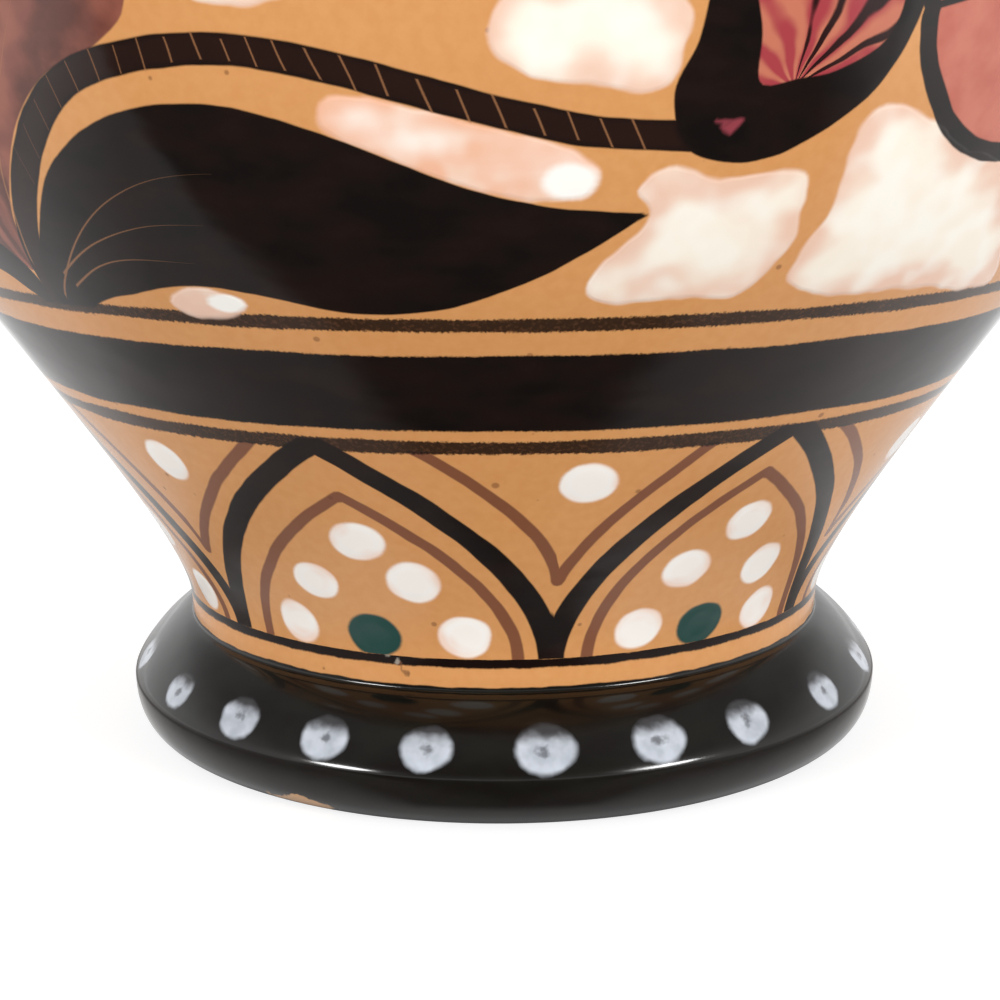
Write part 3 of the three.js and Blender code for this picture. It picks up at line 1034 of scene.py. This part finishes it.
@cache
def painted_ware():
    """Painted earthenware: slips brushed on the ochre ground, some lines scratched back through
    them, and one clear glaze over all."""
    material, tree = blank("painted_glazed_earthenware")
    soft = bpy.context.scene.vase_sizes.edge_softness
    hand = grain(tree, 7, 2)
    black = slip_black(tree)

    black_arch, outer_arch, inner_arch = (
        line_field(moved(stored(tree, name), hand, 0.12), 0, half_width)
        for name, (half_width, *_) in ARCH_LINES.items()
    )
    brown_arch = most(least(outer_arch, stored(tree, "arch_open")), inner_arch)
    colour = brushed(ochre_ground(tree), paint("brown"), brown_arch, soft, 0.88)
    colour = wheel_lines(tree, colour, BROWN_LINES, BLACK_LINES)
    colour = brushed(colour, black, least(black_arch, stored(tree, "arch_crown")), soft)

    petal = petal_paint(tree, FAN_BASE, ("#7f493d", "#935848"), "#5c332a", 17, 0.2, 1.0)
    colour = brushed(colour, petal, stored(tree, "fan"), soft)
    pink = moved(stored(tree, "pink_dab"), hand, 0.4)
    colour = brushed(colour, dab_paint(tree, pink, "#f2bb9c", "#fbdccb"), pink, soft * 2.5, 0.95)
    dab = moved(stored(tree, "dab"), hand, 0.5)
    colour = brushed(colour, dab_paint(tree, dab, "#efc9b3", "#fdf3e3"), dab, soft * 2.2, 0.97)
    colour = brushed(colour, "#fffdf7", moved(dot_field(tree, "touch"), hand, 0.12), 0.22, 0.96)
    rosette = moved(stored(tree, "rosette"), hand, 0.2)
    colour = brushed(colour, black, rosette, soft)
    colour = brushed(colour, rosette_paint(tree), rosette - ROSETTE_OUTLINE, soft)

    stem = stem_field(tree)
    leaf, left_leaf, long_leaf, bud = (
        stored(tree, name) for name in ("leaf", "left_leaf", "long_leaf", "bud")
    )
    dark = moved(most(stem, leaf, left_leaf, long_leaf, bud), hand, 0.12)
    above_line = height_of(tree) - BROWN_LINES[0][0]
    colour = brushed(colour, black, least(dark, above_line), soft)
    warm = least(stem - 0.3, above_line, 0 - most(leaf, bud))
    colour = brushed(colour, "#2c1710", warm, 0.5, 0.6)
    petal = petal_paint(tree, BUD_BASE, ("#a53f45", "#c4745c"), "#2a1110", 20, 0.4, 0.35, 78)
    colour = brushed(colour, petal, stored(tree, "bud_petals"), soft)
    colour = brushed(colour, "#96404a", stored(tree, "bud_touch"), 0.3, 0.9)
    colour = brushed(colour, "#a8744e", least(scratch_field(tree, stem), above_line), 0.1, 0.62)

    dot, green = dot_field(tree, "dot"), dot_field(tree, "green_dot")
    colour = brushed(colour, dot_paint(tree, dot), moved(dot, hand, 0.08), 0.1, 0.96)
    colour = brushed(colour, paint("green"), moved(green, hand, 0.08), 0.08)
    glazed(tree, colour, rescaled(most(dot, green, dab, pink), 0, 0.5, 0, 1, "SMOOTHSTEP"))
    return material


def stem_field(tree):
    """The stem: widest where it leaves the leaf, and evenly wide from its bend to the bud."""
    half = rescaled(stored(tree, "stem_length"), *STEM_BEND, *STEM_HALF_WIDTHS, "SMOOTHSTEP")
    return half - stored(tree, "stem_away")


def scratch_field(tree, stem):
    """Lines scratched through the black: the leaf's veins and the midribs, and strokes across the
    stem, one wherever girth + lean * (rise - middle) is a multiple of their spacing."""
    half = bpy.context.scene.vase_sizes.scratch_width / 2
    girth = stored(tree, "girth")

    def within(ends):
        """The ends along the girth, and the field of the stretch between them."""
        first, last = (math.radians(end) * GIRTH_RADIUS for end in ends)
        return first, last, line_field(girth, (first + last) / 2, (last - first) / 2)

    fields = []
    for number, ends in enumerate(VEIN_ENDS):
        first, last, stretch = within(ends)
        width = rescaled(girth, first, last, half, -half * 0.3)
        off = abs(stored(tree, f"vein_{number}"))
        fields.append(least(width - off, VEIN_REACH - stored(tree, f"vein_{number}_away"), stretch))
    first, last, stretch = within(SCRATCH_ENDS)
    lean = rescaled(girth, first, last, *SCRATCH_LEANS)
    slant = moved(girth, stored(tree, "rise") - SCRATCH_RISE, lean)
    step = moved(slant, grain(tree, 17, 1), 0.7).put("PINGPONG", SCRATCH_SPACING / 2)
    width = rescaled(girth, first, first / 2, -half * 0.15, half * 0.6)
    short = moved(stem - 0.3, grain(tree, 4, 1), 0.4)
    fields.append(least(width - step, short, stretch))
    midrib = line_field(stored(tree, "long_leaf_across"), 0, half)
    fields.append(least(midrib, stored(tree, "long_leaf") - MIDRIB_STOP))
    return most(*fields)


def dab_paint(tree, depth, thin, thick):
    """Slip dabbed on in overlapping strokes: rosy where it thins out towards the rim of the dab,
    and whiter further in and where strokes cross."""
    inward = moved(moved(-1.0, grain(tree, 8, 1.5, (1, 1, 1.4)), 1.05), depth, 0.42)
    body = brushed(thin, thick, inward, 1.1)
    ridges = moved(moved(-0.5, inward, 0.3), grain(tree, 4.5, 1), 1)
    return brushed(body, "#fffdf4", ridges, 1.1, 0.7)


def dot_paint(tree, dot):
    """White slip dots, thin and rosy on one side and ridged round the rim."""
    body = brushed("#fadecd", "#fffaf3", moved(dot, grain(tree, 5, 1), 0.6), 0.5)
    return brushed(body, "#fffefb", line_field(dot, 0.3, 0.08), 0.2, 0.5)


def rosette_paint(tree):
    """Rose slip petals, mottled, with dark lines between them and a dark heart with an ochre eye.
    At a distance d from the centre and an angle f, a line is d |cos(n f / 2)| / (n / 2) away."""
    share, x, y, half_petals = (
        stored(tree, f"rosette_{name}") for name in ("share", "x", "y", "half_petals")
    )
    body = brushed("#b85f4e", "#c97763", grain(tree, 5, 3), 1.3)
    off = abs((y.put("ARCTAN2", x) * half_petals).put("COSINE", 0))
    place = add_node(tree, "ShaderNodeCombineXYZ", {0: x, 1: y}).outputs[0]
    away = add_node(tree, "ShaderNodeVectorMath", {0: place}, operation="LENGTH").outputs["Value"]
    body = brushed(body, "#1a1210", 0.4 - off * away / half_petals, 0.15)
    body = brushed(body, "#1a1210", 0.3 - share, 0.012)
    return brushed(body, paint("ochre"), 0.15 - share, 0.012)


def petal_paint(tree, base, lights, dark, streaks, balance, softness, calm=180):
    """Petals that fan out from a base, with streaks along them of a dark slip and two light ones.
    The dark ones leave off above an angle of calm."""
    girth, rise = unrolled(*np.array([base], float).T)[0]
    turn = (stored(tree, "rise") - rise).put("ARCTAN2", stored(tree, "girth") - girth)
    swing, slow = (
        moved(turn * pace, grain(tree, 9, 2), bend).put("SINE", 0)
        for pace, bend in ((streaks, 1.3), (streaks * 0.6, 1.8))
    )
    body = brushed(*lights, moved(slow, grain(tree, 5, 2), 0.8), 0.9)
    calm = math.radians(calm)
    lightness = rescaled(turn, calm, calm + 0.5, balance, balance + 1.5)
    return brushed(dark, body, moved(swing, grain(tree, 4, 3), 0.7 * softness) + lightness, softness)


def dotted(tree, colour):
    """A row of bluish white slip dots: thin at the top, and speckled in the middle where the
    brush was lifted."""
    dot, rise = dot_field(tree, "dot"), stored(tree, "dot_rise")
    body = brushed("#ccd3dd", "#b1b8c2", grain(tree, 2.2, 2), 1.2)
    body = brushed(body, "#3c3c40", moved(dot - 0.8, grain(tree, 1.3, 2), 0.16), 0.16, 0.7)
    body = brushed(body, "#1f1a18", moved(rise - 0.45, grain(tree, 2, 2), 0.12), 0.35, 0.93)
    return brushed(colour, body, moved(dot, grain(tree, 3, 2), 0.07), 0.14, 0.93)


@cache
def dotted_slip(name):
    """Black slip with a row of dots under the glaze, as on the lip and the handles."""
    material, tree = blank(name)
    glazed(tree, dotted(tree, slip_black(tree)))
    return material


def foot_slip():
    """The foot: black slip with a row of dots, an ochre collar with a dark line, a flaked chip on
    the collar, and an edge where the sponge left the clay bare."""
    material, tree = blank("dotted_black_slip_foot")
    height = height_of(tree)
    wander = grain(tree, 4, 2)
    teeth = moved(wander * 0.1, grain(tree, 0.38, 1, (1, 1, 0.4)), 0.04)
    colour = dotted(tree, slip_black(tree, "#171711"))
    colour = brushed(colour, ochre_ground(tree), moved(height - COLLAR_PAINT_FOOT, wander, 0.12), 0.12)
    colour = brushed(colour, "#150906", line_field(height, *COLLAR_LINE) + teeth, 0.16)
    for name, shade, size, detail, ragged, softness, opacity in FOOT_WEAR:
        worn = moved(stored(tree, name), grain(tree, size, detail), ragged)
        colour = brushed(colour, shade, worn, softness, opacity)
    glazed(tree, colour, rough=(0.1, 0.2))
    return material


def neck_ware():
    """The neck: ochre under wheel-painted lines, with a row of dots on its black band."""
    material, tree = blank("banded_glazed_earthenware")
    lines = wheel_lines(tree, ochre_ground(tree), NECK_BROWN_LINES, NECK_BLACK_LINES)
    glazed(tree, dotted(tree, lines))
    return material


@cache
def inside_glaze():
    """The inside: the ochre ground alone under clear glaze."""
    material, tree = blank("clear_glazed_inside")
    glazed(tree, ochre_ground(tree))
    return material


@cache
def bare_clay():
    """Unglazed fired earthenware: a matt tan, gritty from the sponge."""
    material, tree = blank("bare_earthenware")
    grit = grain(tree, 0.9, 3)
    colour = brushed("#b98258", "#cf9c70", grit, 1.2)
    pits = {"Strength": 0.6, "Distance": 0.15 * MM, "Height": grit}
    normal = add_node(tree, "ShaderNodeBump", pits).outputs[0]
    shaded(tree, Base_Color=colour, Roughness=0.85, Normal=normal)
    return material


def settle(piece, node):
    """Lets a piece ride with the vase and stand for its CAD node."""
    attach(piece, BODY)
    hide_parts(node)


def make_foot_ring():
    """The foot ring, with its hollow of bare clay."""
    runs = foot_runs()
    outer = joined(*(even(run, rows) for run, rows in zip(runs, FOOT_ROWS)))
    inner_edge = (STAND_RADIUS - STAND_WIDTH, STAND_ROUND)
    hollow = joined(
        [[THROAT_RADIUS, FOOT_SEAM]],
        sweep((THROAT_RADIUS, FOOT_SEAM), DOWN, inner_edge, DOWN, HOLDS["hollow"], THROAT_ROWS),
        sweep(inner_edge, DOWN, (inner_edge[0] + STAND_ROUND, 0), OUT, HOLDS["corner"], EDGE_ROWS),
    )
    piece, chart = turned("foot_ring", [(foot_slip(), outer), (bare_clay(), hollow)])
    foot_line = joined(*runs)
    lengths = along(foot_line)
    behind = np.linspace(FRONT_FOOT_DOTS[-1][0], FRONT_FOOT_DOTS[0][0] + 360, BACK_FOOT_DOTS)[1:-1]
    dots = [
        (degrees, FOOT_DOT_HEIGHT, *(size * half for half in FOOT_DOT_HALF))
        for degrees, size in (*FRONT_FOOT_DOTS, *((degrees, 1) for degrees in behind))
    ]

    def foot_climb(heights):
        """Millimetres up the foot's outside to each height."""
        return np.interp(heights, foot_line[:, 1], lengths)

    store_dots(piece, chart, dots, foot_climb)
    for name, spots in (("chip", CHIPS), ("crack", CRACK), ("bare", BARE_PATCH)):
        store(piece.data, name, 1 - dots_field(chart, spots, foot_climb)[0])
    settle(piece, "foot_ring")


def make_lower_body():
    """The lower half of the body, with its thick floor and the fillet inside."""
    fine = between(OUTSIDE, FOOT_SEAM, LOWER_ROWS_CHANGE)
    coarse = between(OUTSIDE, LOWER_ROWS_CHANGE, BELLY_HEIGHT)
    outer = joined(*(even(run, rows) for run, rows in zip((fine, coarse), LOWER_ROWS)))
    floor = FOOT_SEAM + FLOOR_THICKNESS
    inner = even(between(INSIDE, floor + FLOOR_FILLET, BELLY_HEIGHT), LOWER_INSIDE_ROWS)[::-1]
    fillet_foot = (inner[-1, 0] - FLOOR_FILLET, floor)
    fillet = sweep(inner[-1], DOWN, fillet_foot, IN, HOLDS["corner"], FILLET_ROWS)
    runs = [
        (bare_clay(), np.array([[0, FOOT_SEAM]])),
        (painted_ware(), outer),
        (inside_glaze(), joined(inner, fillet, [[0, floor]])),
    ]
    piece, chart = turned("lower_body", runs)
    paint_belly(piece, chart)
    settle(piece, "lower_body")


def wall_between(name, low, high, rows, finish):
    """A stretch of the wall between two heights, finished outside and glazed inside."""
    outer = even(between(OUTSIDE, low, high), rows[0])
    inner = even(between(INSIDE, low, high), rows[1])[::-1]
    return turned(name, [(finish, outer), (inside_glaze(), inner)])


def make_upper_body():
    """The upper half of the body, up to the root of the neck."""
    piece, chart = wall_between("upper_body", BELLY_HEIGHT, NECK_SEAM, UPPER_ROWS, painted_ware())
    paint_belly(piece, chart)
    settle(piece, "upper_body")


def make_neck():
    """The neck, from its cove to the flare."""
    piece, chart = wall_between("neck", NECK_SEAM, LIP_SEAM, NECK_ROWS, neck_ware())
    store_dots(piece, chart, even_row(*NECK_DOTS))
    settle(piece, "neck")


def make_lip():
    """The lip: the end of the flare, rolled over into a bead that runs down into the throat."""
    outer = between(OUTSIDE, LIP_SEAM, FLARE_END[1])
    bead = arc(BEAD_CENTRE, BEAD_RADIUS, BEAD_RADIUS, -FLARE_ANGLE, 180 - FLARE_ANGLE, BEAD_ROWS)
    inner = between(INSIDE, LIP_SEAM - WALL, LIP_SEAM)
    into_neck = inner[0] - inner[-1]
    into_neck /= np.linalg.norm(into_neck)
    throat = sweep(
        bead[-1], heading(270 - FLARE_ANGLE), inner[-1], into_neck, HOLDS["throat"], LIP_THROAT_ROWS
    )
    line = even(joined(outer, bead, throat), LIP_ROWS)
    piece, chart = turned("lip", [(dotted_slip("dotted_black_slip_lip"), line)])
    outside = joined(outer, bead)

    def bead_climb(heights):
        """Millimetres up the lip's outside to each height."""
        rising = outside[: outside[:, 1].argmax() + 1]
        return np.interp(heights, rising[:, 1], along(rising))

    store_dots(piece, chart, even_row(*LIP_DOTS), bead_climb)
    settle(piece, "lip")


def handle_line():
    """The middle of a handle from inside the neck's wall to inside the shoulder's, by length."""
    neck_top = NARROWEST[1]
    top_height = neck_top + HANDLE_TOP_SHARE * (LIP_SEAM - neck_top)
    top = np.array([wall_radius(top_height) - WALL / 2, top_height])
    crown = np.array([HANDLE_CROWN_RADIUS, VASE_HEIGHT - HANDLE_CROWN_DROP - HANDLE_THICKNESS / 2])
    foot_share = 1 - (HANDLE_FOOT_RADIUS / BELLY_RADIUS) ** 2
    foot_height = BELLY_HEIGHT + BELLY_RISE * math.sqrt(foot_share) - WALL / 2
    foot = np.array([HANDLE_FOOT_RADIUS, foot_height])
    reach_height = foot_height + HANDLE_OUT_SHARE * (crown[1] - foot_height)
    reach = np.array([HANDLE_OUT_RADIUS - HANDLE_THICKNESS / 2, reach_height])
    return joined(
        sweep(top, heading(HANDLE_TOP_ANGLE), crown, OUT, HOLDS["handle_top"]),
        sweep(crown, OUT, reach, DOWN, HOLDS["handle_side"]),
        sweep(reach, DOWN, foot, heading(180 + HANDLE_FOOT_ANGLE), HOLDS["handle_foot"]),
    )


def make_handle(side):
    """A pulled strap: an oval |x/a|^n + |y/b|^n = 1 carried along the handle's line, wider at its
    two roots, with a groove exp(-(x/w)^2) down its back."""
    line = even(handle_line(), HANDLE_RINGS)
    length = along(line)
    slope = np.gradient(line, axis=0)
    slope /= np.linalg.norm(slope, axis=1)[:, None]
    back = np.column_stack([-slope[:, 1], slope[:, 0]])
    into = np.clip(1 - np.minimum(length, length[-1] - length) / HANDLE_ROOT_LENGTH, 0, 1)
    root = into**2 * (3 - 2 * into)
    half_width = (HANDLE_WIDTH + (HANDLE_ROOT_WIDTH - HANDLE_WIDTH) * root) / 2
    half_thickness = (HANDLE_THICKNESS + (HANDLE_ROOT_THICKNESS - HANDLE_THICKNESS) * root) / 2
    turn = np.linspace(0, 2 * np.pi, HANDLE_CORNERS, endpoint=False)
    cos, sin = np.cos(turn), np.sin(turn)
    power = 2 / HANDLE_SQUARENESS
    across = half_width[:, None] * np.sign(cos) * np.abs(cos) ** power
    rise = half_thickness[:, None] * np.sign(sin) * np.abs(sin) ** power
    rise -= np.where(sin > 0, GROOVE_DEPTH * np.exp(-((across / GROOVE_WIDTH) ** 2)), 0)
    radius = line[:, :1] + rise * back[:, :1]
    height = line[:, 1:] + rise * back[:, 1:]
    points = np.column_stack([side * radius.ravel(), across.ravel(), height.ravel()])
    low = np.arange(HANDLE_RINGS - 1)
    corners = np.arange(HANDLE_CORNERS)
    caps = [corners[::-1].tolist(), (corners + low[-1] * HANDLE_CORNERS + HANDLE_CORNERS).tolist()]
    faces = faces_between(low, low + 1, HANDLE_CORNERS) + caps
    if side < 0:
        faces = [face[::-1] for face in faces]
    name = "handle_right" if side > 0 else "handle_left"
    piece = new_piece(name, points, faces)
    piece.data.materials.append(dotted_slip("dotted_black_slip_handle"))
    step = (length / HANDLE_DOT_SPACING + 0.5) % 1 - 0.5
    ahead = step[:, None] * HANDLE_DOT_SPACING / HANDLE_DOT_HALF[1]
    away = np.hypot(across / HANDLE_DOT_HALF[0], ahead) + np.where(sin > 0, 0, FAR)
    store(piece.data, "dot", away.ravel())
    store(piece.data, "dot_rise", np.zeros(away.size))
    settle(piece, name)


def area_lamp(name, turn, rise, distance, size, power):
    """A soft oval lamp that faces the vase, by its direction from the front and above the
    ground in degrees, its distance and size in metres and its power in watts."""
    data = bpy.data.lights.new(name, "AREA")
    data.shape = "ELLIPSE"
    data.size, data.size_y = size
    data.energy = power
    lamp = bpy.data.objects.new(name, data)
    flat, up = heading(rise)
    across, ahead = math.sin(math.radians(turn)), -math.cos(math.radians(turn))
    towards = Vector((flat * across, flat * ahead, up))
    lamp.location = Vector(LAMP_AIM) + distance * towards
    lamp.rotation_euler = towards.to_track_quat("Z", "Y").to_euler()
    bpy.context.scene.collection.objects.link(lamp)


def make_camera():
    """The photograph's view: a long lens close to the foot, tilted down and a little rolled."""
    data = bpy.data.cameras.new("camera")
    data.lens, data.sensor_width = LENS, SENSOR_WIDTH
    data.clip_start, data.clip_end = CLIP
    camera = bpy.data.objects.new("camera", data)
    camera.location = CAMERA_PLACE
    camera.rotation_euler = Euler((math.radians(90 - CAMERA_TILT), 0, 0))
    camera.rotation_euler.rotate_axis("Z", math.radians(CAMERA_ROLL))
    bpy.context.scene.collection.objects.link(camera)
    bpy.context.scene.camera = camera


def rays(tree):
    """Two fields: whether a ray comes from the camera, and whether the glaze or a glass sent it."""
    paths = add_node(tree, "ShaderNodeLightPath").outputs
    names = ("Camera", "Glossy", "Transmission")
    camera, glossy, through = (Field(paths[f"Is {name} Ray"]) for name in names)
    return camera, most(glossy, through)


def make_floor():
    """A plain pale floor. Rays from the camera see it lifted to white. Rays from the glaze see painted
    light and shade on it: a painted glow in a rim round the foot, a painted glow beyond where the
    vase's own shadow falls and towards the back, and a painted shade on the photographer's side."""
    corners = [(x * FLOOR_HALF, y * FLOOR_HALF, 0) for x, y in ((-1, -1), (1, -1), (1, 1), (-1, 1))]
    mesh = bpy.data.meshes.new("floor")
    mesh.from_pydata(corners, [], [(0, 1, 2, 3)])
    floor = bpy.data.objects.new("floor", mesh)
    bpy.context.scene.collection.objects.link(floor)
    material, tree = blank("pale_floor")
    camera, mirrored = rays(tree)
    place = add_node(tree, "ShaderNodeTexCoord").outputs["Object"]
    away = Field(add_node(tree, "ShaderNodeVectorMath", {0: place}, operation="LENGTH").outputs["Value"])
    across, ahead, _ = place_of(tree)
    reach = abs(across)
    back = moved(ahead, across, 0.2) + rescaled(reach, *SIDE_FLOOR)
    # Painted light for reflected rays: the floor glows near the foot, beyond where the vase's shadow falls
    # and towards the back.
    near_floor = rescaled(away, *NEAR_FLOOR, "SMOOTHSTEP")
    painted_floor_glow = rescaled(away, *OPEN_FLOOR, near_floor, 1, "SMOOTHSTEP") * rescaled(back, *BACK_FLOOR)
    # Painted light: a glowing rim round the foot, which the glaze of the foot's lower edge mirrors as a
    # light line.
    rim_end = rescaled(reach, *RIM_END)
    rim = rescaled(away, *RIM_START, "SMOOTHSTEP") * rescaled(away, RIM_FADE, rim_end, 1, 0, "SMOOTHSTEP")
    lift = most(camera, mirrored * most(painted_floor_glow, rim))
    # Painted shade: the floor seen in the glaze is darkened on the photographer's side, so the black slip
    # mirrors it dark.
    dim = mirrored * rescaled(moved(ahead, reach, 0.4), *FRONT_FLOOR, "SMOOTHSTEP")
    colour = brushed("#9c9c9c", "#505050", dim - 0.5, 0.5)
    shaded(
        tree, Base_Color=colour, Roughness=0.9, Specular_IOR_Level=0.0,
        Emission_Color="#ffffff", Emission_Strength=lift * FLOOR_LIFT,
    )
    mesh.materials.append(material)


def make_world():
    """Pale light from all round, white where the camera sees it, and dimmer above the horizon on
    the photographer's side. The glaze sees it white at the horizon and dim overhead."""
    world = bpy.data.worlds.new("studio")
    bpy.context.scene.world = world
    world.use_nodes = True
    tree = world.node_tree
    tree.nodes.clear()
    camera, mirrored = rays(tree)
    _, ahead, rise = place_of(tree, "Generated")
    horizon = rescaled(rise, *HORIZON, "SMOOTHSTEP")
    dim = rescaled(ahead, *FRONT_SKY, horizon, 1, "SMOOTHSTEP")
    overhead = rescaled(rise, *OVERHEAD, "SMOOTHSTEP")
    strength = most(dim * rescaled(mirrored, 0, 1, WORLD_LIGHT, overhead), camera)
    background = add_node(tree, "ShaderNodeBackground", {"Color": "#ffffff", "Strength": strength})
    add_node(tree, "ShaderNodeOutputWorld", {"Surface": background.outputs[0]})


class VASE_OT_foot(bpy.types.Operator):
    """Makes the foot ring"""

    bl_idname = "vase.foot"
    bl_label = "Foot ring"

    def execute(self, context):
        make_foot_ring()
        return {"FINISHED"}


class VASE_OT_body(bpy.types.Operator):
    """Makes the two halves of the painted body"""

    bl_idname = "vase.body"
    bl_label = "Body"

    def execute(self, context):
        make_lower_body()
        make_upper_body()
        return {"FINISHED"}


class VASE_OT_neck(bpy.types.Operator):
    """Makes the neck"""

    bl_idname = "vase.neck"
    bl_label = "Neck"

    def execute(self, context):
        make_neck()
        return {"FINISHED"}


class VASE_OT_lip(bpy.types.Operator):
    """Makes the rolled lip"""

    bl_idname = "vase.lip"
    bl_label = "Lip"

    def execute(self, context):
        make_lip()
        return {"FINISHED"}


class VASE_OT_handles(bpy.types.Operator):
    """Makes the two pulled strap handles"""

    bl_idname = "vase.handles"
    bl_label = "Handles"

    def execute(self, context):
        for side in (1, -1):
            make_handle(side)
        return {"FINISHED"}


class VASE_OT_stage(bpy.types.Operator):
    """Makes the camera, the floor, the lamps and the world"""

    bl_idname = "vase.stage"
    bl_label = "Stage"

    def execute(self, context):
        make_camera()
        make_floor()
        make_world()
        for lamp in LAMPS:
            area_lamp(*lamp)
        context.scene.view_settings.view_transform = "Standard"
        return {"FINISHED"}


class VASE_PT_panel(bpy.types.Panel):
    """Lists the steps that make the vase"""

    bl_idname = "VASE_PT_panel"
    bl_label = "Two-handled vase"
    bl_space_type = "VIEW_3D"
    bl_region_type = "UI"
    bl_category = "Vase"

    def draw(self, context):
        for group in (context.scene.vase_sizes, context.scene.vase_paints):
            for name in group.bl_rna.properties.keys():
                if name not in ("rna_type", "name"):
                    self.layout.prop(group, name)
        for step in STEPS:
            self.layout.operator(step.bl_idname)


STEPS = (VASE_OT_stage, VASE_OT_foot, VASE_OT_body, VASE_OT_neck, VASE_OT_lip, VASE_OT_handles)
CLASSES = (VaseSizes, VasePaints, *STEPS, VASE_PT_panel)


def register():
    """Registers the classes and hangs the sizes and paints on the scene."""
    for item in CLASSES:
        bpy.utils.register_class(item)
    bpy.types.Scene.vase_sizes = PointerProperty(type=VaseSizes)
    bpy.types.Scene.vase_paints = PointerProperty(type=VasePaints)


def unregister():
    """Takes them off again."""
    del bpy.types.Scene.vase_paints
    del bpy.types.Scene.vase_sizes
    for item in reversed(CLASSES):
        bpy.utils.unregister_class(item)


def main():
    """Makes everything in order."""
    register()
    bpy.ops.vase.stage()
    bpy.ops.vase.foot()
    bpy.ops.vase.body()
    bpy.ops.vase.neck()
    bpy.ops.vase.lip()
    bpy.ops.vase.handles()


if __name__ == "__main__":
    main()
